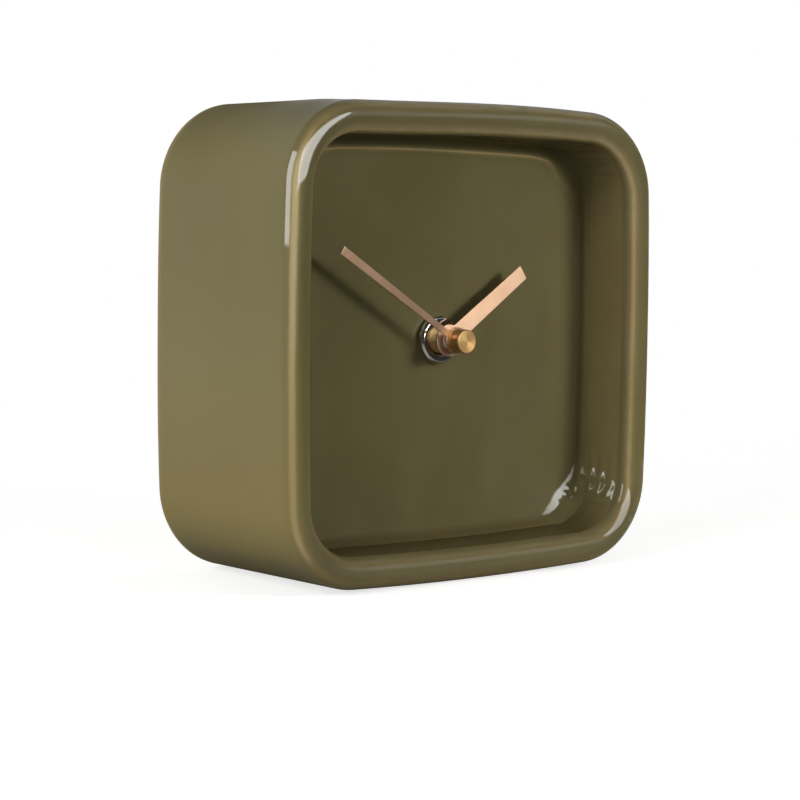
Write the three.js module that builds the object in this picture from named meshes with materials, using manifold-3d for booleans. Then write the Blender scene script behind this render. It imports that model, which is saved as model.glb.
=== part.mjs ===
// A square ceramic desk clock with a quartz movement, in millimetres.
// +Z is up and the dial faces -Y. The origin lies on the table, under the middle of the case.
// Depths below grow from the front of the clock to its back.
import * as THREE from "three";
import { mergeVertices } from "three/addons/utils/BufferGeometryUtils.js";
import Module from "manifold-3d";

const wasm = await Module();
wasm.setup();

// Ceramic case
const caseSize = 135; // square front outline, before its sides bow out
const caseDepth = 65.7;
const cornerRadius = 24.8;
const sideRadius = 1200; // the very flat arc that bows each side out
const sideFlare = 0.8; // each side stands out this much more at the back than at the front
const rimRadius = 4.6; // the front rim is a full round
const recessDepth = 22.2; // crest of the rim to the dial
const recessDraft = 0.5; // lean of the recess wall
const dialFillet = 3.4;
const dialThickness = 5.5;
const rearWall = 6;
const rearFillet = 4;
const backEdgeRadius = 1.3;
const footDepth = 0.75; // ground off under the case, so that it stands flat
const sideSteps = 4;
const cornerSteps = 7;

// Fits
const seatGap = 0.1; // between faces that rest on each other
const runningGap = 0.15; // radial, between a shaft and its hole
const endShake = 0.2; // free play of a wheel along its axis
const toothGap = 0.5; // between a wheel's teeth and whatever stands beside it
const weld = 0.2; // how far a boss starts inside the wall that it grows from

// What shows on the dial
const ringNutRadius = 7;
const ringNutThickness = 2.6;
const ringNutChamfer = 0.4;
const hourHandLength = 34.6;
const hourHandWidth = 5;
const hourTipWidth = 4.4;
const hourHubRadius = 4.65;
const hourHandHeight = 6.1; // dial to the back of the blade
const minuteHandLength = 49;
const minuteHandWidth = 1.9;
const minuteTipWidth = 2.5;
const minuteHubRadius = 4;
const minuteHandHeight = 9.4;
const handThickness = 0.4;
const collarWall = 0.8; // tube behind a hand that grips its arbor
const hourCollarLength = 0.6;
const minuteCollarLength = 2;
const capNutRadius = 3.2;
const capNutLength = 4.4;
const capNutChamfer = 0.5;
const capGrooveDepth = 0.45;
const shownHours = 1;
const shownMinutes = 50 + 1 / 3;

// Coaxial shafts
const bushRadius = 4; // 8 mm thread
const bushStandOff = 5.3; // how far it stands in front of the dial
const flangeRadius = 5.2;
const flangeThickness = 0.5;
const hourPipeRadius = 2.5;
const hourPipeEnd = 6.9; // in front of the dial
const minuteArborRadius = 1.6;
const minuteArborEnd = 12.6;
const secondArborRadius = 0.7;
const secondArborEnd = 11.4;
const washerThickness = 1;
const washerRadius = 10;

// Movement housing and battery
const trayWall = 0.8;
const trayFloor = 1.2;
const trayCorner = 1.8;
const batteryRadius = 7.1;
const batteryLength = 50.5;
const batteryPlay = 0.2;
const batteryFloor = 0.8;
const bayWall = 0.7;
const coverThickness = 1.3;
const coverLip = 1;
const coverGap = 1.2; // bridge to cover
const bridgeThickness = 0.8;
const postRadius = 1.6;
const postPinRadius = 0.7;
const bossRadius = 1.2;
const pivotRadius = 0.35;
const staffRadius = 0.6;
const contactThickness = 0.3;
const contactWidth = 3;
const springTravel = 1.4; // battery to the wall behind its spring contact
const notchRadius = 7.5; // finger notch of the battery bay

// Wheels: module is pitch diameter over teeth
const wheelThickness = 0.8;
const layerGap = 0.6;
const pinionOverhang = 0.15;
const wheelHoles = 4;
const centreModule = 0.34;
const motionModule = 0.36;
const rotorModule = 0.35;
const wheelTooth = { addendum: 0.95, dedendum: 1.25, root: 0.4, tip: 0 };
const leafTooth = { addendum: 0.85, dedendum: 1.25, root: 0.18, tip: 0.12 };
const rotorTeeth = 8;
const fifthTeeth = 48;
const fifthLeaves = 10;
const secondTeeth = 50;
const secondLeaves = 8;
const thirdTeeth = 60;
const thirdLeaves = 8;
const centreTeeth = 64;
const cannonTeeth = 12;
const minuteTeeth = 36;
const minuteLeaves = 10;
const hourTeeth = 40;
const knobTeeth = 12;
const thirdDirection = (120 * Math.PI) / 180;
const fifthDirection = Math.PI / 4;
const rotorDirection = Math.PI / 4;

// Stepping motor and electronics
const magnetRadius = 2.5;
const magnetThickness = 1.6;
const statorThickness = 0.8;
const statorGap = 0.5;
const statorArm = 3.6;
const coilLength = 20;
const coilHeight = 5;
const coilDepth = 4.2;
const bobbinFlange = 0.8;
const bobbinWall = 0.5;
const coreHeight = 2;
const boardHeight = 10;
const boardThickness = 0.8;
const chipRadius = 2.4;
const chipHeight = 0.9;
const crystalRadius = 1;
const crystalLength = 6;

// Setting knob
const knobRadius = 5.4;
const knobThickness = 2.8;
const knobShaftRadius = 1.1;
const knobRidges = 16;

// Depth planes
const frontY = -caseDepth / 2;
const backY = caseDepth / 2;
const dialY = frontY + recessDepth;
const dialBackY = dialY + dialThickness;
const trayY = dialBackY + washerThickness + 2 * seatGap;
const trayFloorY = trayY + trayFloor;
const flangeBackY = trayFloorY + seatGap + flangeThickness;
const hourWheelY = flangeBackY + endShake;
const motionY = hourWheelY + wheelThickness + layerGap;
const centreY = motionY + wheelThickness + layerGap;
const thirdY = centreY + wheelThickness + layerGap;
const secondY = thirdY + wheelThickness + layerGap;
const fifthY = secondY + wheelThickness + layerGap;
const magnetY = fifthY + wheelThickness + layerGap;
const statorY = magnetY + (magnetThickness - statorThickness) / 2;
const bridgeY = magnetY + magnetThickness + layerGap;
const bridgeBackY = bridgeY + bridgeThickness;
const coverY = bridgeBackY + coverGap;
const trayBackY = coverY + coverThickness;

// Wheel centres, as x and z from the shaft
const tipRadius = (teeth, module, tooth) => (teeth / 2 + tooth.addendum) * module;
const polar = (radius, angle) => [radius * Math.cos(angle), radius * Math.sin(angle)];
const centreTip = tipRadius(centreTeeth, centreModule, wheelTooth);
const thirdDistance = ((centreTeeth + thirdLeaves) / 2) * centreModule;
const thirdModule = (2 * thirdDistance) / (thirdTeeth + secondLeaves);
const fifthDistance = centreTip + toothGap + bossRadius;
const secondModule = (2 * fifthDistance) / (secondTeeth + fifthLeaves);
const secondTip = tipRadius(secondTeeth, secondModule, wheelTooth);
const rotorDistance = ((fifthTeeth + rotorTeeth) / 2) * rotorModule;
const minuteDistance = ((cannonTeeth + minuteTeeth) / 2) * motionModule;
const hourModule = (2 * minuteDistance) / (minuteLeaves + hourTeeth);
const knobDistance = ((minuteTeeth + knobTeeth) / 2) * motionModule;
const thirdAt = polar(thirdDistance, thirdDirection);
const fifthAt = polar(fifthDistance, fifthDirection);
const rotorStep = polar(rotorDistance, rotorDirection);
const rotorAt = [fifthAt[0] + rotorStep[0], fifthAt[1] + rotorStep[1]];
const minuteAt = [minuteDistance, 0];
const knobAt = [minuteDistance + knobDistance, 0];

// Layout of the housing about the shaft
const bayTop = -Math.max(centreTip, secondTip) - toothGap - contactThickness - seatGap - bayWall;
const batteryZ = bayTop - batteryPlay - batteryRadius;
const trayBottom = batteryZ - batteryRadius - batteryPlay - trayWall;
const statorHole = magnetRadius + statorGap;
const statorBottom = rotorAt[1] - statorHole - 1;
const statorTop = rotorAt[1] + statorHole + 1;
const coilZ = statorTop + toothGap + coilHeight / 2;
const trayTop = coilZ + coilHeight / 2 + 2 * toothGap + trayWall + coverLip;
const trayHalf = (batteryLength + contactThickness + seatGap + springTravel) / 2 + 2 * trayWall;
const coreY = statorY + statorThickness + seatGap;
const coilX = rotorAt[0] - coilLength / 2 + statorArm;
const coreHalf = coilLength / 2 + bobbinFlange + endShake + statorArm;
const boardLeft = -trayHalf + 2 * trayWall + coverLip + 2 * toothGap;
const boardRight = coilX - coreHalf - 2 * toothGap;
const boardX = (boardLeft + boardRight) / 2;
const boardZ = trayTop - trayWall - coverLip - seatGap - boardHeight / 2;
const batteryX = (springTravel - contactThickness - seatGap) / 2;
const batteryY = trayY + batteryFloor + batteryPlay + batteryRadius;
const bridgePosts = [
  [-secondTip - postRadius - 2, -secondTip / 2 - postRadius],
  [knobAt[0] + postRadius + 3, -secondTip / 2 - postRadius],
  [thirdAt[0] - tipRadius(thirdTeeth, thirdModule, wheelTooth) - postRadius - toothGap, thirdAt[1]],
  [fifthAt[0] + tipRadius(fifthTeeth, rotorModule, wheelTooth) + postRadius + 2, fifthAt[1] - 1],
];

// The case's lines and the height of the shaft above the table
const cornerCentre = caseSize / 2 - cornerRadius;
const sideLean = Math.asin(cornerCentre / (sideRadius - cornerRadius));
const sideCentre = cornerCentre - (sideRadius - cornerRadius) * Math.cos(sideLean);
const shaftZ = sideCentre + sideRadius + sideFlare - footDepth;

// Finishes
const finish = (color, roughness, metalness) =>
  new THREE.MeshStandardMaterial({ color, roughness, metalness });
const glaze = finish(0x625b3c, 0.12, 0);
const chrome = finish(0xd8d8d6, 0.08, 1);
const brass = finish(0xb8873f, 0.25, 1);
const roseGold = finish(0xd9a883, 0.32, 1);
const steel = finish(0x9a9c9e, 0.3, 1);
const copper = finish(0xb4653a, 0.35, 1);
const rubber = finish(0x1d1d1d, 0.9, 0);
const blackPlastic = finish(0x222324, 0.5, 0);
const whitePlastic = finish(0xe6e3da, 0.45, 0);
const boardGreen = finish(0x1f5a38, 0.5, 0);
const batterySleeve = finish(0x2f3a44, 0.35, 0.3);

// A closed geometry as a solid that can be joined and cut.
function solidOf(geometry) {
  const bare = geometry.clone();
  bare.deleteAttribute("normal");
  bare.deleteAttribute("uv");
  const merged = mergeVertices(bare, 1e-4);
  const corners = merged.index.array;
  const triVerts = [];
  for (let i = 0; i < corners.length; i += 3) {
    const [a, b, c] = corners.slice(i, i + 3);
    if (a !== b && b !== c && c !== a) triVerts.push(a, b, c);
  }
  const vertProperties = merged.attributes.position.array;
  const mesh = new wasm.Mesh({ numProp: 3, vertProperties, triVerts: new Uint32Array(triVerts) });
  return new wasm.Manifold(mesh);
}

function geometryOf(solid) {
  const mesh = solid.getMesh();
  const geometry = new THREE.BufferGeometry();
  geometry.setAttribute("position", new THREE.BufferAttribute(mesh.vertProperties, 3));
  geometry.setIndex(new THREE.BufferAttribute(mesh.triVerts, 1));
  return geometry;
}

function join(...geometries) {
  return geometryOf(geometries.map(solidOf).reduce((whole, next) => whole.add(next)));
}

function cut(base, ...tools) {
  return geometryOf(tools.map(solidOf).reduce((left, tool) => left.subtract(tool), solidOf(base)));
}

// A flat outline in x and z, given thickness along y.
const faceFront = new THREE.Matrix4().makeBasis(
  new THREE.Vector3(1, 0, 0),
  new THREE.Vector3(0, 0, 1),
  new THREE.Vector3(0, -1, 0),
);
function plate(shape, front, thickness, curveSegments = 8) {
  const geometry = new THREE.ExtrudeGeometry(shape, {
    depth: thickness,
    bevelEnabled: false,
    curveSegments,
  });
  return geometry.applyMatrix4(faceFront).translate(0, front + thickness, 0);
}

// An outline in y and z, given length along x about its middle.
const faceSide = new THREE.Matrix4().makeBasis(
  new THREE.Vector3(0, 1, 0),
  new THREE.Vector3(0, 0, 1),
  new THREE.Vector3(1, 0, 0),
);
function bar(shape, middle, length) {
  const geometry = new THREE.ExtrudeGeometry(shape, {
    depth: length,
    bevelEnabled: false,
    curveSegments: 2,
  });
  return geometry.applyMatrix4(faceSide).translate(middle - length / 2, 0, 0);
}

// A profile of radius and y, turned about the y axis. It runs towards the back on its outside.
function turned(profile, segments = 24) {
  const points = profile.map(([radius, y]) => new THREE.Vector2(radius, y));
  const solid = profile[0][0] === 0 && profile.at(-1)[0] === 0;
  if (!solid) points.push(points[0].clone());
  return new THREE.LatheGeometry(points, segments);
}

function rod(radius, front, back, segments = 12) {
  return turned([[0, front], [radius, front], [radius, back], [0, back]], segments);
}

function tube(outer, inner, front, back, segments = 24) {
  return turned([[inner, front], [outer, front], [outer, back], [inner, back]], segments);
}

function rodAt(radius, front, back, [x, z], segments = 10) {
  return rod(radius, front, back, segments).translate(x, 0, z);
}

function block(x0, x1, y0, y1, z0, z1) {
  const box = new THREE.BoxGeometry(x1 - x0, y1 - y0, z1 - z0);
  return box.translate((x0 + x1) / 2, (y0 + y1) / 2, (z0 + z1) / 2);
}

function roundedBox(x0, x1, z0, z1, radius) {
  const shape = new THREE.Shape();
  shape.absarc(x1 - radius, z0 + radius, radius, -Math.PI / 2, 0, false);
  shape.absarc(x1 - radius, z1 - radius, radius, 0, Math.PI / 2, false);
  shape.absarc(x0 + radius, z1 - radius, radius, Math.PI / 2, Math.PI, false);
  shape.absarc(x0 + radius, z0 + radius, radius, Math.PI, 1.5 * Math.PI, false);
  return shape;
}

function roundHole(radius, [x, z] = [0, 0]) {
  return new THREE.Path().absarc(x, z, radius, 0, 2 * Math.PI, true);
}

// A closed band between loops of equally many points: each loop joins the next, the last the first.
function band(loops) {
  const count = loops[0].length;
  const index = [];
  loops.forEach((loop, i) => {
    const here = i * count;
    const next = ((i + 1) % loops.length) * count;
    for (let k = 0; k < count; k++) {
      const l = (k + 1) % count;
      index.push(here + k, here + l, next + k, here + l, next + l, next + k);
    }
  });
  const geometry = new THREE.BufferGeometry();
  geometry.setAttribute("position", new THREE.Float32BufferAttribute(loops.flat(2), 3));
  geometry.setIndex(index);
  return geometry;
}

// Points on an arc in a section, as inset and y.
function sectionArc(inset, y, radius, from, to, steps) {
  return Array.from({ length: steps + 1 }, (_, i) => {
    const angle = from + ((to - from) * i) / steps;
    return [inset + radius * Math.cos(angle), y + radius * Math.sin(angle)];
  });
}

// One line round the case: four very flat side arcs, tangent to four corner arcs.
// An inset moves the whole line inwards by the same distance.
function caseLine(inset, y) {
  const quarter = [];
  const half = sideSteps / 2;
  for (let i = 0; i < half; i++) {
    const [x, z] = polar(sideRadius - inset, (sideLean * i) / half);
    quarter.push([sideCentre + x, z]);
  }
  for (let i = 0; i <= cornerSteps; i++) {
    const angle = sideLean + ((Math.PI / 2 - 2 * sideLean) * i) / cornerSteps;
    const [x, z] = polar(cornerRadius - inset, angle);
    quarter.push([cornerCentre + x, cornerCentre + z]);
  }
  for (let i = 1; i < half; i++) {
    const [x, z] = polar(sideRadius - inset, Math.PI / 2 - sideLean + (sideLean * i) / half);
    quarter.push([x, sideCentre + z]);
  }
  const turn = ([x, z], times) => (times ? turn([-z, x], times - 1) : [x, z]);
  return [0, 1, 2, 3].flatMap((times) => quarter.map((p) => turn(p, times)).map(([x, z]) => [x, y, z]));
}

// A round loop whose points face those of the case's lines.
function holeLine(radius, y) {
  return caseLine(0, y).map(([x, , z]) => {
    const [u, v] = polar(radius, Math.atan2(z, x));
    return [u, y, v];
  });
}

// The case in one piece of ceramic: outside wall, round rim, sunk dial, shaft hole and open back.
function ceramicCase() {
  const holeRadius = bushRadius + 2 * runningGap;
  const wallFoot = 2 * rimRadius + recessDraft;
  const backInset = -sideFlare;
  const rearInset = backInset + rearWall;
  const section = [
    ...sectionArc(rimRadius, frontY + rimRadius, rimRadius, -Math.PI, 0, 8),
    ...sectionArc(wallFoot + dialFillet, dialY - dialFillet, dialFillet, Math.PI, Math.PI / 2, 3),
  ];
  const rear = [
    ...sectionArc(rearInset + rearFillet, dialBackY + rearFillet, rearFillet, -Math.PI / 2, -Math.PI, 3),
    [rearInset, backY - backEdgeRadius / 2],
    [rearInset - backEdgeRadius / 2, backY],
    ...sectionArc(backInset + backEdgeRadius, backY - backEdgeRadius, backEdgeRadius, Math.PI / 2, Math.PI, 2),
  ];
  const loops = [
    ...section.map(([inset, y]) => caseLine(inset, y)),
    holeLine(holeRadius, dialY),
    holeLine(holeRadius, dialBackY),
    ...rear.map(([inset, y]) => caseLine(inset, y)),
  ];
  const under = block(-caseSize, caseSize, 2 * frontY, 2 * backY, -2 * shaftZ, -shaftZ);
  return cut(band(loops), under);
}

function rubberWasher() {
  const front = dialBackY + seatGap;
  return tube(washerRadius, bushRadius + runningGap, front, front + washerThickness, 24);
}

function ringNut() {
  const back = dialY - seatGap;
  const front = back - ringNutThickness;
  const bore = bushRadius + runningGap;
  const c = ringNutChamfer;
  return turned(
    [
      [bore, front + c / 2],
      [bore + c / 2, front],
      [ringNutRadius - c, front],
      [ringNutRadius, front + c],
      [ringNutRadius, back - c],
      [ringNutRadius - c, back],
      [bore, back],
    ],
    32,
  );
}

function threadedBush() {
  const front = dialY - bushStandOff;
  const bore = hourPipeRadius + runningGap;
  const lead = 0.4;
  return turned(
    [
      [bore, front],
      [bushRadius - lead, front],
      [bushRadius, front + lead],
      [bushRadius, trayFloorY + seatGap],
      [flangeRadius, trayFloorY + seatGap],
      [flangeRadius, flangeBackY],
      [bore, flangeBackY],
    ],
    24,
  );
}

// A stamped hand, pointing up: a round hub, a blade with straight edges and a square end,
// and the collar that grips the arbor.
function hand(hub, bore, length, rootWidth, tipWidth, back, collarLength) {
  const root = rootWidth / 2;
  const rootZ = Math.sqrt(hub * hub - root * root);
  const rootAngle = Math.atan2(rootZ, root);
  const shape = new THREE.Shape();
  shape.moveTo(tipWidth / 2, length);
  shape.lineTo(root, rootZ);
  shape.absarc(0, 0, hub, rootAngle, Math.PI - rootAngle, true);
  shape.lineTo(-tipWidth / 2, length);
  const disc = plate(shape, back - handThickness, handThickness, 10);
  const collar = rod(bore + collarWall, back - handThickness / 2, back + collarLength, 20);
  const hole = rod(bore, back - 2 * handThickness, back + 2 * collarLength, 20);
  return cut(join(disc, collar), hole);
}

function capNut() {
  const back = dialY - minuteHandHeight - handThickness - seatGap;
  const front = back - capNutLength;
  const bore = minuteArborRadius + runningGap;
  const groove = capNutRadius - capGrooveDepth;
  const bottom = dialY - minuteArborEnd - seatGap;
  return turned(
    [
      [0, front + capNutChamfer],
      [capNutRadius / 4, front],
      [capNutRadius - capNutChamfer, front],
      [capNutRadius, front + capNutChamfer],
      [capNutRadius, front + capNutLength / 2],
      [groove, front + capNutLength / 2 + capGrooveDepth],
      [groove, back - capNutLength / 4],
      [capNutRadius, back - capNutLength / 4],
      [capNutRadius, back],
      [bore, back],
      [bore, bottom],
      [0, bottom],
    ],
    22,
  );
}

// Straight-flanked teeth round a wheel. The phase is the direction of its first tooth.
function toothed(teeth, module, tooth, phase) {
  const pitchRadius = (teeth * module) / 2;
  const root = pitchRadius - tooth.dedendum * module;
  const tip = pitchRadius + tooth.addendum * module;
  const step = (2 * Math.PI) / teeth;
  const crest = tooth.tip ? [[tip, -tooth.tip], [tip, tooth.tip]] : [[tip, 0]];
  const corners = [[root, -tooth.root], ...crest, [root, tooth.root]];
  const points = Array.from({ length: teeth }, (_, i) =>
    corners.map(([radius, turn]) => {
      const [x, z] = polar(radius, phase + (i + turn) * step);
      return new THREE.Vector2(x, z);
    }),
  );
  return new THREE.Shape(points.flat());
}

// The phase that meshes a second wheel with a first, seen from the first in the given direction.
function meshPhase(firstPhase, firstTeeth, secondTeethCount, direction) {
  const offset = ((firstPhase - direction) * firstTeeth) / secondTeethCount;
  return direction + Math.PI + Math.PI / secondTeethCount - offset;
}

// A thin toothed disc, pierced by a ring of round lightening holes in the going train.
function wheelDisc(teeth, module, phase, front, holes = 0, bore = 0) {
  const shape = toothed(teeth, module, wheelTooth, phase);
  const rootRadius = (teeth / 2 - wheelTooth.dedendum) * module;
  const holeRadius = rootRadius * 0.2;
  for (let i = 0; i < holes; i++) {
    shape.holes.push(roundHole(holeRadius, polar(rootRadius * 0.62, (2 * Math.PI * i) / holes)));
  }
  if (bore) shape.holes.push(roundHole(bore));
  return plate(shape, front, wheelThickness, 4);
}

function pinionLeaves(teeth, module, phase, layer, bore = 0) {
  const shape = toothed(teeth, module, leafTooth, phase);
  if (bore) shape.holes.push(roundHole(bore));
  return plate(shape, layer - pinionOverhang, wheelThickness + 2 * pinionOverhang, 5);
}

const rearPivotY = bridgeBackY - seatGap;
const postTop = (layer) => layer - pinionOverhang - endShake;

// A staff with a pivot at each end, from its boss in the tray to its hole in the bridge.
function staff(layer) {
  return turned(
    [
      [0, postTop(layer) - 2 * pivotRadius],
      [pivotRadius, postTop(layer) - 2 * pivotRadius],
      [pivotRadius, postTop(layer) + endShake],
      [staffRadius, postTop(layer) + endShake],
      [staffRadius, bridgeY - endShake],
      [pivotRadius, bridgeY - endShake],
      [pivotRadius, rearPivotY],
      [0, rearPivotY],
    ],
    10,
  );
}

// Going train phases, each wheel in mesh with the one before
const centrePhase = 0;
const thirdLeafPhase = meshPhase(centrePhase, centreTeeth, thirdLeaves, thirdDirection);
const thirdPhase = thirdDirection;
const secondLeafPhase = meshPhase(thirdPhase, thirdTeeth, secondLeaves, thirdDirection + Math.PI);
const secondPhase = fifthDirection;
const fifthLeafPhase = meshPhase(secondPhase, secondTeeth, fifthLeaves, fifthDirection);
const fifthPhase = rotorDirection;
const rotorPhase = meshPhase(fifthPhase, fifthTeeth, rotorTeeth, rotorDirection);

// Motion work phases
const cannonPhase = 0;
const minutePhase = meshPhase(cannonPhase, cannonTeeth, minuteTeeth, 0);
const minuteLeafPhase = 0;
const hourPhase = meshPhase(minuteLeafPhase, minuteLeaves, hourTeeth, Math.PI);
const knobPhase = meshPhase(minutePhase, minuteTeeth, knobTeeth, 0);

function hourWheel() {
  const bore = minuteArborRadius + runningGap;
  const back = hourWheelY + wheelThickness;
  const disc = wheelDisc(hourTeeth, hourModule, hourPhase, hourWheelY);
  const pipe = rod(hourPipeRadius, dialY - hourPipeEnd, back + endShake / 2, 24);
  return cut(join(disc, pipe), rod(bore, dialY - 2 * hourPipeEnd, back + 2 * endShake, 20));
}

// The minute arbor: a tube with the cannon pinion cut on it and a shoulder for the centre wheel.
function minuteArbor() {
  const rear = centreY + wheelThickness + layerGap - endShake;
  const body = rod(minuteArborRadius, dialY - minuteArborEnd, rear, 16);
  const leaves = pinionLeaves(cannonTeeth, motionModule, cannonPhase, motionY);
  const shoulder = rod(minuteArborRadius + 0.6, motionY + wheelThickness, centreY - seatGap, 16);
  const bore = rod(secondArborRadius + runningGap, dialY - 2 * minuteArborEnd, rear + weld, 12);
  return cut(join(body, leaves, shoulder), bore);
}

function centreWheel() {
  const bore = minuteArborRadius + runningGap;
  return wheelDisc(centreTeeth, centreModule, centrePhase, centreY, wheelHoles, bore);
}

// Dished friction washer that presses the centre wheel on its arbor.
function clutchSpring() {
  const inner = minuteArborRadius + runningGap;
  const front = centreY + wheelThickness + seatGap;
  const sheet = 0.15;
  return turned(
    [
      [inner, front + sheet],
      [2 * inner, front],
      [2 * inner, front + sheet],
      [inner, front + 2 * sheet],
    ],
    20,
  );
}

function thirdWheel() {
  const leaves = pinionLeaves(thirdLeaves, centreModule, thirdLeafPhase, centreY);
  return join(leaves, wheelDisc(thirdTeeth, thirdModule, thirdPhase, thirdY, wheelHoles), staff(centreY));
}

function secondWheel() {
  const leaves = pinionLeaves(secondLeaves, thirdModule, secondLeafPhase, thirdY);
  const disc = wheelDisc(secondTeeth, secondModule, secondPhase, secondY, wheelHoles);
  const hub = rod(2 * staffRadius, thirdY + wheelThickness, secondY + wheelThickness + layerGap, 12);
  const bore = rod(secondArborRadius + seatGap, centreY, bridgeBackY, 12);
  return cut(join(leaves, disc, hub), bore);
}

function secondArbor() {
  return turned(
    [
      [0, dialY - secondArborEnd],
      [secondArborRadius, dialY - secondArborEnd],
      [secondArborRadius, bridgeY - endShake],
      [pivotRadius, bridgeY - endShake],
      [pivotRadius, rearPivotY],
      [0, rearPivotY],
    ],
    12,
  );
}

function fifthWheel() {
  const leaves = pinionLeaves(fifthLeaves, secondModule, fifthLeafPhase, secondY);
  return join(leaves, wheelDisc(fifthTeeth, rotorModule, fifthPhase, fifthY, wheelHoles), staff(secondY));
}

function rotorPinion() {
  return join(pinionLeaves(rotorTeeth, rotorModule, rotorPhase, fifthY), staff(fifthY));
}

function rotorMagnet() {
  return tube(magnetRadius, staffRadius + seatGap, magnetY, magnetY + magnetThickness, 20);
}

function minuteWheel() {
  const bore = bossRadius - 0.4 + runningGap;
  const leaves = pinionLeaves(minuteLeaves, hourModule, minuteLeafPhase, hourWheelY);
  const disc = wheelDisc(minuteTeeth, motionModule, minutePhase, motionY);
  const hub = rod(bore + 0.6, hourWheelY + wheelThickness, motionY + wheelThickness, 12);
  return cut(join(leaves, disc, hub), rod(bore, trayY, centreY, 12));
}

// The knob on the back, its shaft through cover and bridge, and its pinion in the motion work.
function settingKnob() {
  const front = trayBackY + endShake;
  const ridge = { addendum: 0, dedendum: 1, root: 0.34, tip: 0.2 };
  const ridgeModule = (2 * knobRadius) / knobRidges;
  const grip = plate(toothed(knobRidges, ridgeModule, ridge, 0), front, knobThickness);
  const dimple = rod(knobRadius * 0.6, front + knobThickness * 0.8, front + 2 * knobThickness, 20);
  const shaft = rod(knobShaftRadius, motionY, front + weld, 14);
  const leaves = pinionLeaves(knobTeeth, motionModule, knobPhase, motionY);
  const pivot = rod(staffRadius, hourWheelY, motionY + weld, 10);
  return join(cut(grip, dimple), shaft, leaves, pivot);
}

// The moulded front half of the movement's housing, with the battery bay and every boss.
function movementTray() {
  const inner = trayHalf - trayWall;
  const bottomInner = trayBottom + trayWall;
  const worksFloor = bayTop + bayWall;
  const outline = roundedBox(-trayHalf, trayHalf, trayBottom, trayTop, trayCorner);
  const shell = plate(outline, trayY, coverY - seatGap - trayY, 3);
  const bayOutline = roundedBox(-trayHalf, trayHalf, trayBottom, worksFloor, trayCorner / 2);
  const bay = plate(bayOutline, trayY + weld, trayBackY - trayY - weld, 3);
  const past = trayBackY + trayWall;
  const works = block(-inner, inner, trayFloorY, past, worksFloor, trayTop - trayWall);
  const bayHollow = block(-inner, inner, trayY + batteryFloor, past, bottomInner, bayTop);
  const notch = rodAt(notchRadius, -notchRadius, notchRadius, [0, 0], 24)
    .rotateX(Math.PI / 2)
    .translate(0, trayBackY, trayBottom);
  const slotFront = batteryY;
  const slots = [-1, 1].map((side) =>
    block(
      side > 0 ? inner - 3 * contactThickness : -inner - weld,
      side > 0 ? inner + weld : -inner + 3 * contactThickness,
      slotFront,
      past,
      bayTop - weld,
      worksFloor + weld,
    ),
  );
  const hole = rod(bushRadius + seatGap, trayY - 1, trayFloorY + 1, 20);
  const hollow = cut(join(shell, bay), works, bayHollow, notch, ...slots, hole);
  const start = trayFloorY - weld;
  const posts = bridgePosts.flatMap((at) => [
    rodAt(postRadius, start, bridgeY - seatGap, at),
    rodAt(postPinRadius, start, bridgeBackY + seatGap, at, 8),
  ]);
  const bosses = [
    rodAt(bossRadius, start, postTop(centreY), thirdAt),
    rodAt(bossRadius, start, postTop(secondY), fifthAt),
    rodAt(bossRadius, start, postTop(fifthY), rotorAt),
    rodAt(bossRadius - 0.4, start, centreY - endShake, minuteAt),
    rodAt(bossRadius + 0.4, start, postTop(motionY), knobAt),
  ];
  const rests = [
    rodAt(postRadius, start, statorY - seatGap, [coilX - coreHalf + statorArm / 2, coilZ]),
    rodAt(postRadius, start, statorY - seatGap, [coilX + coreHalf - statorArm / 2, coilZ]),
    rodAt(postRadius, start, statorY - seatGap, [boardX, boardZ + 1]),
  ];
  const pivotHole = (layer, at) =>
    rodAt(pivotRadius + runningGap, postTop(layer) - 3 * pivotRadius, postTop(layer) + 1, at, 10);
  const knobHole = rodAt(staffRadius + runningGap, hourWheelY - endShake, motionY, knobAt, 10);
  return cut(
    join(hollow, ...posts, ...bosses, ...rests),
    pivotHole(centreY, thirdAt),
    pivotHole(secondY, fifthAt),
    pivotHole(fifthY, rotorAt),
    knobHole,
  );
}

// The back cover over the works, with a lip inside the tray and a collar round the knob's shaft.
function movementCover() {
  const bottom = bayTop + bayWall + seatGap;
  const lip = trayHalf - trayWall - seatGap;
  const lipBottom = bottom + 2 * contactThickness + 4 * seatGap;
  const lipTop = trayTop - trayWall - seatGap;
  const sheet = plate(roundedBox(-trayHalf, trayHalf, bottom, trayTop, trayCorner), coverY, coverThickness, 2);
  const rim = roundedBox(-lip, lip, lipBottom, lipTop, trayCorner / 2);
  rim.holes.push(
    roundedBox(-lip + trayWall, lip - trayWall, lipBottom + trayWall, lipTop - trayWall, trayCorner / 3),
  );
  const skirt = plate(rim, coverY - coverLip / 2, coverLip / 2 + weld, 2);
  const well = plate(
    roundedBox(-trayHalf * 0.62, trayHalf * 0.1, bottom + 6, trayTop - 8, trayCorner),
    trayBackY - coverThickness / 4,
    coverThickness,
    2,
  );
  const hole = rodAt(knobShaftRadius + runningGap, coverY - 1, trayBackY + 1, knobAt, 16);
  return cut(join(sheet, skirt), well, hole);
}

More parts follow.
